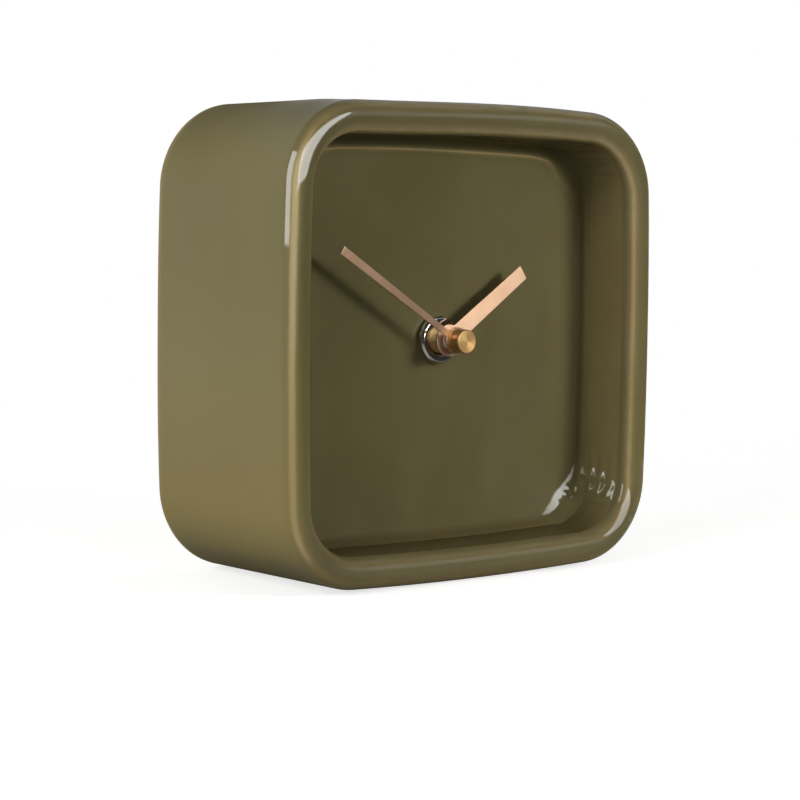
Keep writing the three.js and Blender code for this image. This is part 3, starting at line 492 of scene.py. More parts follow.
def thinGlazeAndPaintedLight(s, t, rows):
    # above 0 where the glaze is thin and brown and where highlights and light are painted, and
    # below 0 where it pools and where shade is painted
    v = thinAndPaintedLightShares
    rim, wall, cove = len(s["rim"]), len(s["wall"]), len(s["cove"])
    thinAndPaintedLight = np.zeros((rows, len(t["around"])))
    angle = np.linspace(-np.pi, 0, rim)[:, None]
    left, right = t["left"] ** 3, t["right"] ** 3
    # the outer line: partly thin glaze, partly a painted highlight that is strongest on the left
    strength = v["outerShare"] + v["outerLeftHighlight"] * left + v["outerRight"] * right
    outerLine = bell(angle, v["outerAt"], v["outerWidth"]) * strength
    # the inner line: partly thin glaze, with painted light added along the top and on the right
    innerLine = bell(angle, bySide(t, v["innerAt"]), bySide(t, v["innerWidth"]))
    thinAndPaintedLight[:rim] = outerLine + innerLine * bySide(t, v["innerShare"])
    # the wall: lighter on the right as painted light, darker low down, and lighter toward the rim
    thinAndPaintedLight[rim : rim + wall] = bySide(t, v["wall"]) + np.linspace(v["wallTop"], 0, wall)[:, None]
    # The glaze pools in the cove by half a sine wave, which also paints shade into the crease;
    # along the top a pale line where the dial begins is a painted reflection. The wave stops just
    # before its end, since a power of a sine below 0 has no value.
    share = np.linspace(0, 1, cove)[:, None]
    poolAndShade = np.sin(np.pi * np.minimum(share, 0.999)) ** (1 + 3 * t["right"])
    # a painted reflection of the table: a pale line along the top where the dial begins
    reflectionLine = v["dialLine"] * bell(share, 1, v["dialLineWidth"]) * t["above"]
    thinAndPaintedLight[rim + wall : rim + wall + cove] = (
        reflectionLine * (1 - 0.6 * t["corner"]) - poolAndShade * bySide(t, v["poolAndShade"])
    )
    outerWall, backEdge, innerEdge = (len(s[key]) for key in ("outerWall", "backEdge", "innerEdge"))
    thinAndPaintedLight[rows - outerWall - backEdge - innerEdge : rows - outerWall] = 1
    return thinAndPaintedLight


def glazeShine(s, t, grid, dialRings):
    # weight of the clear coat: 1 less what is lost on each part
    v = dullShares
    rim, wall, cove = len(s["rim"]), len(s["wall"]), len(s["cove"])
    x, z = t["direction"].T
    shine = np.ones(grid.shape[:2])
    shine[rim : rim + wall] -= v["wall"] * t["below"]
    low = rise(-z, 0, 0.8)
    shine[: rim // 2] -= v["rimOuter"] * low
    shine[rim // 2 : rim] -= v["rimInner"] * rise(-x * z) * (x > 0)
    # the top is duller, but for the front end of its left corner
    outside = slice(len(grid) - len(s["outerWall"]) - len(s["backEdge"]), None)
    kept = rise(-grid[outside, :, 1], -5, 30) * rise(-x, 0, 0.12)
    dulled = v["top"] * rise(z, 0, 0.6) + v["topMiddle"] * rise(z, 0.6, 0.4)
    lost = v["outside"] * low + dulled * (1 - kept)
    shine[outside] -= lost + v["topKept"] * rise(z, 0, 0.8) * kept
    foot = rim + wall + cove
    shine[rim + wall : foot] -= v["cove"] * (1 - t["corner"] * (t["above"] == 0))
    # the dial is satin; the cove's shine runs out over its first three rings
    ring = np.arange(dialRings)
    dial = v["dial"] - v["dialMiddle"] * rise(ring, 30, 8)
    edge = 1 - rise(ring, 0, 3)[:, None]
    shine[foot : foot + dialRings] = dial[:, None] * (1 - edge) + shine[foot - 1] * edge
    return shine


def caseMesh():
    # Rings of points from the outer rim through recess, dial, hole and hollow back to the outer
    # wall. Where the glaze is thin or thick, where highlights, light and shade are painted into its
    # colour, and how it shines are kept as attributes.
    c = caseSizes
    s, t = caseSections(), caseRound()
    front = np.vstack([s[key] for key in ("rim", "wall", "cove")])
    bowl = np.vstack([s[key] for key in ("rim", "bowlWall", "bowl")])
    rear = ("fillet", "rearWall", "innerEdge", "backEdge", "outerWall")
    rear = np.vstack([s[key] for key in rear])
    front, rear = carried(t, front, bowl, glazeRelief(s, t)), carried(t, rear, rear, 0)
    polar = np.arctan2(t["point"][:, 1], t["point"][:, 0])

    def ring(radius, y):
        points = [np.cos(polar) * radius, np.full(len(polar), float(y)), np.sin(polar) * radius]
        return np.stack(points, -1)

    hole, edge = c["shaftHole"], c["holeEdge"]
    lip = [
        ring(hole + edge * (1 - math.sin(a)), dialY + edge * (1 - math.cos(a)))
        for a in np.linspace(0, np.pi / 2, c["holeSteps"])
    ]
    holeBack = ring(hole, dialY + c["dialThickness"])
    dial = line(front[-1], lip[0], c["dialSteps"])
    floor = line(holeBack, rear[0], c["floorSteps"])
    grid = np.concatenate([front, dial, lip, [holeBack], floor, rear])
    grid[..., 2] += shaftZ
    outside = np.zeros(len(grid), bool)
    outside[: len(front)] = True
    outside[-len(s["outerWall"]) - len(s["backEdge"]) :] = True
    grid = unevenCase(grid, outside)
    faces = gridFaces(len(grid), len(polar), True, True)
    mesh = buildMesh("glazedCase", grid.reshape(-1, 3), faces, 60)
    attach(mesh, "glazeThinAndPaintedLight", thinGlazeAndPaintedLight(s, t, len(grid)))
    attach(mesh, "glazeShine", glazeShine(s, t, grid, len(dial) + len(lip)))
    return mesh


# edge and brown are thin glaze; the pale colour is a painted highlight; the pooled colour is pooled
# glaze and painted shade; the foot colour is a painted bounce light from the table
glazeLook = {
    "olive": (121, 113, 78), "deep": (114, 106, 72), "edge": (159, 139, 92),
    "paleHighlight": (208, 190, 140), "brown": (146, 122, 76), "pooledAndShaded": (82, 72, 42),
    "foot": (144, 128, 78), "flank": (122, 115, 66), "roughness": 0.36, "coatRoughness": 0.03,
}


def glazeMaterial():
    # olive with clouds; browner where the glaze is thin and paler where highlights are painted;
    # darker where it pools and where shade is painted; warmer on the flanks; and on the sides
    # lighter toward the foot, a painted bounce light from the table
    look = glazeLook
    material, r = newMaterial("oliveGlaze")
    where = r.fromShaft()
    clouds = r.noise(where, 24, 3, 0.5, 0.3)
    fine = r.noise(where, 300, 3, 0.6)
    runs = r.noise(r.place(stretch=(1, 1, 0.3)), 70, 2, 0.5, 0.3)
    thinAndPaintedLight, shine = r.attribute("glazeThinAndPaintedLight"), r.attribute("glazeShine")
    tone = r.ranged(clouds * 0.75 + runs * 0.25, 0.36, 0.64, smooth=True)
    body = r.mixed(tone, look["deep"], look["olive"])
    uneven = r.ranged(fine * 0.6 + clouds * 0.9, 0.55, 0.95)
    # above 0 the edge and brown colours show, for thin glaze and for painted highlights; the pale
    # colour, reached only above 0.9, is a painted highlight
    brokenAndHighlit = (thinAndPaintedLight.most(0) * (0.6 + 0.35 * uneven)).clipped()
    burntAndHighlit = r.mixed(r.ranged(clouds, 0.5, 0.68, smooth=True), look["edge"], look["brown"])
    burntAndHighlit = r.mixed(r.ranged(thinAndPaintedLight, 0.9, 1.7), burntAndHighlit, look["paleHighlight"])
    edged = r.mixed(brokenAndHighlit, body, burntAndHighlit)
    # below 0 the pooled colour darkens the cove and the lower wall: pooled glaze and painted shade
    poolAndShade = ((0 - thinAndPaintedLight).most(0) * 0.8).clipped()
    filled = r.mixed(poolAndShade, edged, look["pooledAndShaded"])
    x, y, z = r.apart(where)
    side = r.ranged(r.maths("ABSOLUTE", x, 0), 0.060, 0.067)
    # on the sides the colour lightens toward the foot: a painted bounce light from the table
    low = r.ranged(z, -0.066, 0.05, 1.0, 0.0, True)
    flank = r.mixed(side * (1 - brokenAndHighlit) * 0.6, filled, look["flank"])
    colour = r.mixed(side * low * 0.8, flank, look["foot"])
    ripple = r.noise(where, 60, 1, 0.4)
    pits = r.noise(where, 1100, 2, 0.5)
    waves = r.bump(ripple, 0.10, 0.0014)
    skin = r.bump(pits, 0.02, 0.0002, waves)
    roughness = look["roughness"] + 0.1 * (fine - 0.5)
    r.principled({
        "Base Color": colour, "Roughness": roughness, "Normal": skin, "IOR": 1.5,
        "Coat Weight": shine, "Coat Roughness": look["coatRoughness"], "Coat IOR": 1.52,
        "Specular IOR Level": 0.0,
    })
    return material


addPiece("glazedCase", caseMesh(), glazeMaterial(), "clock_body", "olive_glaze", "ceramic_case")
print("ceramic case built")


# metals


def metalMaterial(name, colour, roughness, cloudy, scratch, rings=0, worn=None, brushed=None):
    # a metal with cloudy roughness and fine scratches, and a second colour where it's worn; turned
    # ones have rings round the shaft, and brushed ones a highlight drawn out at a constant angle
    material, r = newMaterial(name)
    where = r.fromShaft()
    clouds = r.noise(where, 180, 3, 0.55)
    base = r.mixed(r.ranged(clouds, 0.35, 0.7), colour, worn or colour)
    normal = r.bump(r.noise(where, 900, 3, 0.6), scratch, 0.00005)
    if rings:
        x, y, z = r.apart(where)
        radius = (x * x + z * z) ** 0.5
        normal = r.bump(r.maths("SINE", radius * rings, 0), 0.6, 0.00003, normal)
    sockets = {
        "Base Color": base, "Metallic": 1.0, "Normal": normal,
        "Roughness": roughness + cloudy * (clouds - 0.5),
    }
    if brushed is not None:
        sockets.update({"Anisotropic": 0.64, "Anisotropic Rotation": brushed})
    r.principled(sockets)
    return material


chrome = metalMaterial("brightNickel", (226, 224, 220), 0.09, 0.05, 0.1)
brass = metalMaterial("turnedBrass", (186, 152, 102), 0.46, 0.08, 0.2, 18000, (184, 144, 92))
threadBrass = metalMaterial("cutBrass", (168, 142, 98), 0.46, 0.1, 0.4, 0, (150, 118, 74))
steel = metalMaterial("plainSteel", (172, 173, 175), 0.32, 0.1, 0.3)

nutSizes = {"radius": 7.0, "thickness": 2.6, "chamfer": 0.6, "bore": 4.15, "gap": 0.1, "soft": 0.12}


def ringNutMesh():
    # a flat ring with broken edges: its section turned round the shaft
    n = nutSizes
    back = dialY - n["gap"]
    front = back - n["thickness"]
    c, bore, radius = n["chamfer"], n["bore"], n["radius"]
    profile = [
        (bore, back), (bore, front + c), (bore + c, front), (radius - c, front),
        (radius, front + c), (radius, back - c), (radius - c, back), (bore, back),
    ]
    return turnedMesh("ringNutBright", roundedProfile(profile, n["soft"])[:-1][::-1], 144)


addPiece("ringNutBright", ringNutMesh(), chrome, "clock_body", "chrome", "ring_nut")

bushSizes = {
    "radius": 3.98, "bore": 2.65, "standOff": 5.3, "back": -2.65, "pitch": 0.75, "depth": 0.4,
    "flank": 2.3, "lead": 0.45, "edge": 0.15, "steps": 120, "rows": 200,
}


def bushMesh():
    # radius falls by the thread's depth in a wave that advances one pitch in each turn,
    # and a cone at the front cuts it down
    b = bushSizes
    front, back = dialY - b["standOff"], b["back"]
    angle = turnAngles(b["steps"])
    y = np.linspace(front, back, b["rows"])[:, None]
    phase = (y / b["pitch"] - angle[None] / (2 * np.pi)) % 1
    groove = rise(1 - np.abs(phase - 0.5) * b["flank"])
    radius = b["radius"] - b["depth"] * groove
    radius = np.minimum(radius, b["radius"] - b["lead"] + (y - front))
    bore, edge = b["bore"], b["edge"]
    inside = [(bore, back), (bore, front + edge), (bore + edge, front)]
    grid = [*(aroundY(*row, angle) for row in inside), *aroundY(radius, y, angle)]
    faces = gridFaces(len(grid), len(angle), True, True)[:, ::-1]
    return buildMesh("threadedBush", np.vstack(grid), faces, 50)


addPiece("threadedBush", bushMesh(), threadBrass, "clock_body", "brass", "threaded_bush")

hourSizes = {
    "hub": 4.65, "bore": 2.6, "length": 34.6, "root": 5.0, "tip": 4.4, "height": 6.1,
    "thickness": 0.4, "collar": 0.6, "collarWall": 0.8,
}
minuteSizes = {
    "hub": 4.0, "bore": 1.7, "length": 49.0, "root": 1.9, "tip": 2.5, "height": 9.4,
    "thickness": 0.4, "collar": 2.0, "collarWall": 0.8,
}
handSizes = {
    "edge": 0.09, "edgeBend": 0.3, "faceInset": 0.04, "boreEdge": 0.05, "collarMost": 0.9,
    "bladeSteps": 60, "endSteps": 12, "hubSteps": 90, "faceSteps": 7,
}
shownMinutes = 110 + 1 / 3  # minutes past twelve


def handMesh(name, sizes, turn):
    # an outline of hub and blade, seen from the hub, joined ring by ring to the bore;
    # its front edges are rounded as a stamping's are, and a collar stands behind
    h = handSizes
    root, tip, hub, bore = sizes["root"] / 2, sizes["tip"] / 2, sizes["hub"], sizes["bore"]
    rootZ = math.sqrt(hub * hub - root * root)
    share = np.linspace(0, 1, h["bladeSteps"])[:, None]
    right = np.array([[root, rootZ]]) * (1 - share) + np.array([[tip, sizes["length"]]]) * share
    end = np.linspace(tip, -tip, h["endSteps"] + 2)[1:-1]
    end = np.stack([end, np.full(len(end), sizes["length"])], -1)
    left = right[::-1] * [-1, 1]
    start, stop = math.atan2(rootZ, -root), 2 * np.pi + math.atan2(rootZ, root)
    sweep = np.linspace(start, stop, h["hubSteps"] + 2)[1:-1]
    outline = np.vstack([right, end, left, hub * onCircle(sweep)])
    out = outwardOf(outline)
    spoke = onCircle(np.arctan2(outline[:, 1], outline[:, 0]))
    back = dialY - sizes["height"]
    front = back - sizes["thickness"]
    edge, bend, boreEdge = h["edge"], h["edge"] * h["edgeBend"], h["boreEdge"]
    near = spoke * min(bore + sizes["collarWall"], hub * h["collarMost"])
    far = outline - out * edge
    rows = [(spoke * bore, front + boreEdge), (spoke * (bore + boreEdge), front)]
    for s in np.linspace(0.0, 1.0, h["faceSteps"]):
        rows.append((near * (1 - s) + (far - out * h["faceInset"]) * s, front))
    rows += [(far, front), (outline - out * bend, front + bend)]
    rows += [(outline, front + edge), (outline, back)]
    for s in (0.0, 0.5, 1.0):
        rows.append((outline * (1 - s) + near * s, back))
    rows += [(near, back + sizes["collar"]), (spoke * bore, back + sizes["collar"])]
    cosT, sinT = math.cos(turn), math.sin(turn)
    turned = np.array([[cosT, -sinT], [sinT, cosT]])
    grid = standing([(flat @ turned, y) for flat, y in rows])
    faces = gridFaces(len(grid), len(outline), True, True)[:, ::-1]
    return buildMesh(name, grid.reshape(-1, 3), faces, 30)


for name, sizes, minutesRound, body, node in (
    ("hourHandStamped", hourSizes, 720, "hour_body", "hour_hand"),
    ("minuteHandStamped", minuteSizes, 60, "minute_body", "minute_hand"),
):
    # both hands are brushed along the blade
    turn = shownMinutes / minutesRound * 2 * math.pi
    brushed = (-turn / (2 * math.pi)) % 1
    worn = (199, 162, 132)
    finish = metalMaterial(name + "Gold", (208, 173, 143), 0.46, 0.06, 0.8, 0, worn, brushed)
    addPiece(name, handMesh(name, sizes, turn), finish, body, "rose_gold", node)

capSizes = {
    "radius": 3.45, "length": 4.4, "bore": 1.75, "boreEnd": -23.3, "chamfer": 0.22,
    "groove": 0.2, "gap": 0.1, "soft": 0.15,
}


def capNutMesh():
    # a turned nut: a face dished by a hair, broken edge, waist and flange
    c = capSizes
    back = dialY - minuteSizes["height"] - minuteSizes["thickness"] - c["gap"]
    front, edge, bore, end = back - c["length"], c["chamfer"], c["bore"], c["boreEnd"]
    r, g = c["radius"], c["radius"] - c["groove"]
    profile = [
        (0, front + 0.1), (r * 0.3, front + 0.08), (r * 0.72, front + 0.02), (r - edge, front),
        (r, front + edge), (r, front + 1.9), (g, front + 2.2), (g, back - 1.2), (r, back - 0.9),
        (r, back), (bore, back), (bore, end), (0, end),
    ]
    return turnedMesh("capNutTurned", roundedProfile(profile, c["soft"])[::-1], 128)


addPiece("capNutTurned", capNutMesh(), brass, "minute_body", "brass", "cap_nut")
print("hands, nuts and bush built")


# plastics and the rest of the movement


def plasticMaterial(name, colour, other, roughness, grain, coat=0.0):
    # a moulded plastic with a fine grain and faint flow marks
    material, r = newMaterial(name)
    where = r.fromShaft()
    grains = r.noise(where, 2600, 2, 0.6)
    clouds = r.noise(where, 45, 2, 0.5, 0.6)
    base = r.mixed(r.ranged(clouds, 0.35, 0.65), colour, other)
    r.principled({
        "Base Color": base, "Roughness": roughness + 0.12 * (clouds - 0.5), "IOR": 1.47,
        "Normal": r.bump(grains, grain, 0.00006), "Coat Weight": coat,
    })
    return material


# colour, colour of the flow marks, roughness, grain and, where there is one, coat
plasticLooks = {
    "blackPlastic": ((34, 35, 36), (42, 43, 44), 0.45, 0.3),
    "whitePlastic": ((228, 225, 214), (218, 214, 200), 0.38, 0.12),
    "washerRubber": ((28, 28, 28), (36, 36, 35), 0.8, 0.4),
    "chipResin": ((18, 18, 19), (26, 26, 27), 0.3, 0.05),
    "boardGreen": ((30, 92, 58), (24, 76, 50), 0.32, 0.1, 0.4),
}
plastics = {name: plasticMaterial(name, *look) for name, look in plasticLooks.items()}
magnet = metalMaterial("sinteredMagnet", (92, 92, 95), 0.5, 0.1, 0.6)
copper = metalMaterial("enamelledCopper", (196, 112, 66), 0.3, 0.08, 0.7, 0, (172, 90, 50))

# the nodes that show as they are: slot, material and nodes
nodeFinish = (
    ("white_plastic", plastics["whitePlastic"], (
        "train_bridge", "hour_wheel", "centre_wheel", "minute_wheel", "third_wheel",
        "second_wheel", "fifth_wheel", "rotor_pinion", "coil_bobbin",
    )),
    ("steel", steel, (
        "clutch_spring", "second_arbor", "stator_plate", "coil_core", "quartz_crystal",
        "positive_contact", "negative_contact",
    )),
    ("rubber", plastics["washerRubber"], ("rubber_washer",)),
    ("brass", brass, ("minute_arbor",)),
    ("magnet", magnet, ("rotor_magnet",)),
    ("copper", copper, ("coil_winding",)),
    ("board", plastics["boardGreen"], ("circuit_board",)),
    ("chip_resin", plastics["chipResin"], ("driver_chip",)),
)
for slotName, material, nodeNames in nodeFinish:
    for nodeName in nodeNames:
        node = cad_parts[nodeName]
        node.data.materials.clear()
        node.data.materials.append(material)

softSizes = {"trayMoulded": ("movement_tray", 0.2), "coverMoulded": ("movement_cover", 0.25)}


def softened(name, nodeName, width):
    # a copy of a CAD node: its loose triangles are joined into flat faces and its edges rounded
    # by the width in millimetres
    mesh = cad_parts[nodeName].data.copy()
    mesh.name = name
    mesh.materials.clear()
    joined = bmesh.new()
    joined.from_mesh(mesh)
    bmesh.ops.remove_doubles(joined, verts=joined.verts, dist=1e-6)
    flat = math.radians(0.5)
    bmesh.ops.dissolve_limit(joined, angle_limit=flat, verts=joined.verts, edges=joined.edges)
    joined.to_mesh(mesh)
    joined.free()
    shadeSmooth(mesh, 30)
    material = plastics["blackPlastic"]
    piece = addPiece(name, mesh, material, "clock_body", "black_plastic", nodeName)
    bevel = piece.modifiers.new("softEdges", "BEVEL")
    bevel.width, bevel.segments = width * mm, 2
    bevel.limit_method, bevel.angle_limit = "ANGLE", math.radians(40)
    bevel.use_clamp_overlap = True


for name, (nodeName, width) in softSizes.items():
    softened(name, nodeName, width)


def boxOf(nodeName):
    # lowest and highest corner of a CAD node in millimetres
    low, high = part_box(nodeName)
    return np.array(low) / mm, np.array(high) / mm


knobSizes = {
    "x": 17.28, "radius": 5.4, "ridges": 30, "ridgeDepth": 0.34, "dish": 3.5, "dishDepth": 0.55,
    "shaft": 1.1, "pivot": 0.6, "teeth": 12, "toothTop": 2.46, "toothFoot": 1.72,
    "front": 12.15, "pinionAt": 1.4, "pinionWidth": 1.1,
}


def knobMesh():
    # One surface round the knob's axis: radius falls by the ridge's depth in a cosine wave on the
    # grip, and alternates between the teeth's top and foot on the pinion.
    k = knobSizes
    low, high = boxOf("setting_knob")
    face, front, pinion = high[1], k["front"], low[1] + k["pinionAt"]
    teethEnd, dishY = pinion + k["pinionWidth"], face - k["dishDepth"]
    angle = turnAngles(12 * k["ridges"])
    wave = (0.5 - 0.5 * np.cos(k["ridges"] * angle)) ** 0.8
    tooth = rise(1.6 * np.cos(k["teeth"] * angle) + 0.5)
    r, dish = k["radius"], k["dish"]
    # each row: radius, y, share of the ridges
    rows = [
        (dish - 0.5, dishY, 0), (dish - 0.12, dishY + 0.1, 0), (dish, face - 0.2, 0),
        (dish + 0.15, face - 0.04, 0), (dish + 0.35, face, 0), (r - 0.8, face, 0),
        (r - 0.4, face - 0.08, 0.3), (r - 0.12, face - 0.3, 0.8), (r, face - 0.6, 1),
        (r, front + 0.4, 1), (r - 0.15, front + 0.12, 0.8), (r - 0.5, front, 0.2),
        (k["shaft"], front, 0), (k["shaft"], teethEnd, 0),
    ]
    rows = [(radius - share * k["ridgeDepth"] * wave, y) for radius, y, share in rows]
    leaf = k["toothFoot"] + (k["toothTop"] - k["toothFoot"]) * tooth
    rows += [(leaf, teethEnd), (leaf, pinion), (k["pivot"], pinion), (k["pivot"], low[1])]
    grid = np.array([aroundY(radius, y, angle, k["x"]) for radius, y in rows])
    ends = [[k["x"], dishY, shaftZ], [k["x"], low[1], shaftZ]]
    return fannedMesh("settingKnobMoulded", grid, ends, 40)


addPiece(
    "settingKnobMoulded", knobMesh(), plastics["whitePlastic"], "knob_body", "white_plastic",
    "setting_knob",
)

cellLook = {
    "sleeve": (52, 56, 62), "band": (198, 142, 92), "line": (222, 214, 200),
    "steel": (196, 197, 198), "bandLength": 15.0, "lineWidth": 0.7, "blur": 0.02,
    "steps": 96, "sleeveSteps": 22,
}


def cellMesh():
    # a profile of radii along x turned round the cell's axis: dished flat end, sleeve with rolled
    # ends, button; each row: x, radius, share of bare metal
    low, high = boxOf("battery")
    left, right, radius = low[0], high[0], (high[2] - low[2]) / 2
    sleeve = np.linspace(left + 1.1, right - 2.1, cellLook["sleeveSteps"] + 2)[1:-1]
    profile = [
        (left, 3.8, 1), (left + 0.08, 4.1, 1), (left + 0.4, 4.4, 1), (left + 0.4, 5.7, 1),
        (left + 0.3, 5.98, 1), (left + 0.28, 6.0, 0), (left + 0.2, 6.3, 0), (left + 0.3, 6.8, 0),
        (left + 0.7, radius - 0.06, 0), (left + 1.1, radius, 0),
        *((x, radius, 0) for x in sleeve),
        (right - 2.1, radius, 0), (right - 1.7, radius - 0.06, 0), (right - 1.3, 6.8, 0),
        (right - 1.2, 6.3, 0), (right - 1.28, 6.0, 0), (right - 1.3, 5.98, 1),
        (right - 1.45, 5.7, 1), (right - 1.45, 3.7, 1), (right - 1.2, 3.3, 1),
        (right - 1.1, 2.85, 1), (right - 0.4, 2.75, 1), (right - 0.1, 2.62, 1), (right, 2.3, 1),
    ]
    angle = turnAngles(cellLook["steps"])
    x, r, bare = (np.array(column) for column in zip(*profile))
    y, z = ((low + high) / 2)[1:]
    grid = [np.repeat(x[:, None], len(angle), 1), y + np.outer(r, np.cos(angle)),
            z + np.outer(r, np.sin(angle))]
    mesh = fannedMesh("cellSleeved", np.stack(grid, -1), [[left, y, z], [right, y, z]], 40)
    attach(mesh, "bareMetal", np.concatenate([np.repeat(bare, len(angle)), [1, 1]]))
    return mesh


def cellMaterial():
    # dark sleeve with a metallic band toward the raised end and a pale line between; bare steel at
    # the ends
    look = cellLook
    material, r = newMaterial("cellSkin")
    edge = (boxOf("battery")[1][0] - look["bandLength"]) * mm
    lineEnd, blur = edge + look["lineWidth"] * mm, look["blur"] * mm
    along, y, z = r.apart(r.fromShaft())
    bare = r.attribute("bareMetal")
    band = r.ranged(along, edge, edge + blur)
    line = band * r.ranged(along, lineEnd, lineEnd + blur, 1.0, 0.0)
    wrinkle = r.noise(r.place(stretch=(0.25, 1, 1)), 420, 2, 0.5)
    sleeve = r.mixed(band, look["sleeve"], look["band"])
    sleeve = r.mixed(line, sleeve, look["line"])
    colour = r.mixed(bare, sleeve, look["steel"])
    r.principled({
        "Base Color": colour, "Metallic": bare.most(band * 0.8 - line * 0.8),
        "Roughness": 0.3 + 0.08 * (wrinkle - 0.5), "Coat Weight": 0.5 * (1 - bare),
        "Coat Roughness": 0.12, "Normal": r.bump(wrinkle, 0.12, 0.0001),
    })
    return material


addPiece("cellSleeved", cellMesh(), cellMaterial(), "clock_body", "cell", "battery")

markSizes = {
    "signReach": 1.5, "signHalf": 0.34, "signFromSide": 5.5, "signFromFoot": 3, "height": 0.3,
    "arrowRadius": 7.6, "arrowHalf": 0.32, "arrowFrom": 0.5, "arrowTo": 2.4, "arrowTip": 2.4,
    "pinRadius": 1.2, "pinFromEdge": 3.4, "pinOverSign": 5, "pinHeight": 0.4,
    "ribs": 9, "ribHalf": 0.45, "ribHeight": 0.2, "ribGap": 2.2, "recessDepth": 0.325,
    "recessTop": 8, "recessFoot": 6, "sunk": 0.1, "soft": 0.08,
}


def plusOutline(x, z, reach, half):
    # an inner corner and an arm's two corners, turned by a quarter four times
    return quarterTurns([(half, half), (half, reach), (-half, reach)]) + [x, z]


def barOutline(x, z, reach, half):
    # a bar with round ends: two half circles
    turn = np.linspace(-np.pi / 2, np.pi / 2, 9)
    right = half * onCircle(turn) + [reach - half, 0]
    return np.vstack([right, -right]) + [x, z]


def arrowOutline(x, z, radius, half, start, end, tip):
    # a band along an arc, with a head at its end
    turn = np.linspace(start, end, 28)
    along, ahead = onCircle(turn), onCircle(end + tip / radius)
    head = [along[-1] * (radius + 3 * half), ahead * radius, along[-1] * (radius - 3 * half)]
    return np.vstack([along * (radius + half), head, along[::-1] * (radius - half)]) + [x, z]


def marksMesh():
    # Outlines raised out of the cover's back, each a wall and a face set in a little: an arrow
    # round the knob, plus and minus over the bay, four pin heads and the ribs of the recess.
    m = markSizes
    low, high = boxOf("movement_cover")
    back, half, top, foot = high[1], high[0], high[2] - shaftZ, low[2] - shaftZ
    signX, signZ, sign = half - m["signFromSide"], foot + m["signFromFoot"], m["signReach"]
    arrow = [m["arrow" + part] for part in ("Radius", "Half", "From", "To", "Tip")]
    raised = [
        (arrowOutline(knobSizes["x"], 0, *arrow), back, m["height"]),
        (plusOutline(signX, signZ, sign, m["signHalf"]), back, m["height"]),
        (barOutline(-signX, signZ, sign, m["signHalf"]), back, m["height"]),
    ]
    disc = onCircle(turnAngles(40)) * m["pinRadius"]
    for z in (top - m["pinFromEdge"], signZ + m["pinOverSign"]):
        for x in (-half + m["pinFromEdge"], half - m["pinFromEdge"]):
            raised.append((disc + [x, z], back, m["pinHeight"]))
    # the recess reaches from 0.62 to 0.1 of the cover's half width, on the left
    recessX, recessHalf = (-0.62 * half + 0.1 * half) / 2, 0.36 * half
    gap = m["ribGap"]
    for z in np.linspace(foot + m["recessFoot"] + gap, top - m["recessTop"] - gap, m["ribs"]):
        rib = barOutline(recessX, z, recessHalf - gap, m["ribHalf"])
        raised.append((rib, back - m["recessDepth"], m["ribHeight"]))
    points, faces, caps, count = [], [], [], 0
    for outline, y, height in raised:
        inner, columns = outline - outwardOf(outline) * m["soft"], len(outline)
        rows = [(outline, y - m["sunk"]), (outline, y + height - m["soft"]), (inner, y + height)]
        points.append(standing(rows).reshape(-1, 3))
        faces.append(gridFaces(len(rows), columns, False, True)[:, ::-1] + count)
        caps.append([count + 2 * columns + i for i in range(columns)][::-1])
        caps.append([count + i for i in range(columns)])
        count += len(rows) * columns
    return buildMesh("coverMarks", np.vstack(points), np.vstack(faces), 30, caps)


addPiece("coverMarks", marksMesh(), plastics["blackPlastic"], "clock_body", "black_plastic")
print("movement finished")


# floor, light and camera

studio = {
    "floorRadius": 3.0, "floorColour": (0.6, 0.6, 0.59, 1), "fadeFrom": 0.16, "fadeTo": 0.6,
    "backdrop": 0.48, "backdropToward": (-0.35, 0.85, -0.7), "backdropFrom": -0.35,
    "backdropFull": 0.6, "room": 0.03, "floorGlow": 0.72,
    "tableFront": -0.12, "tableBlur": 0.1, "tableZ": -0.0002, "rings": 23, "steps": 96,
}
white = (1, 1, 1, 1)


def roomTone(r, toward):
    # brightness of the room in a direction: a pale backdrop behind the clock, and a dim room
    # before and over it, with a smooth way between them by the angle to the backdrop
    sockets = {0: toward, 1: studio["backdropToward"]}
    behind = r.node("VectorMath", {"operation": "DOT_PRODUCT"}, sockets, 1)
    start, full = studio["backdropFrom"], studio["backdropFull"]
    return r.ranged(behind, start, full, studio["room"], studio["backdrop"], True)


def floorDisc():
    # rings of points round the clock, growing outwards
    rings, steps = studio["rings"], studio["steps"]
    radius = studio["floorRadius"] * np.linspace(0, 1, rings + 1)[1:] ** 2
    angle = turnAngles(steps)
    x, y = np.outer(radius, np.cos(angle)), np.outer(radius, np.sin(angle))
    points = np.stack([x, y, np.full((rings, steps), studio["tableZ"])], -1).reshape(-1, 3)
    faces = gridFaces(rings, steps, False, True).tolist() + [list(range(steps))]
    mesh = bpy.data.meshes.new("tableTop")
    mesh.from_pydata(points.tolist(), [], faces)
    piece = newObject("tableTop", mesh)
    return piece


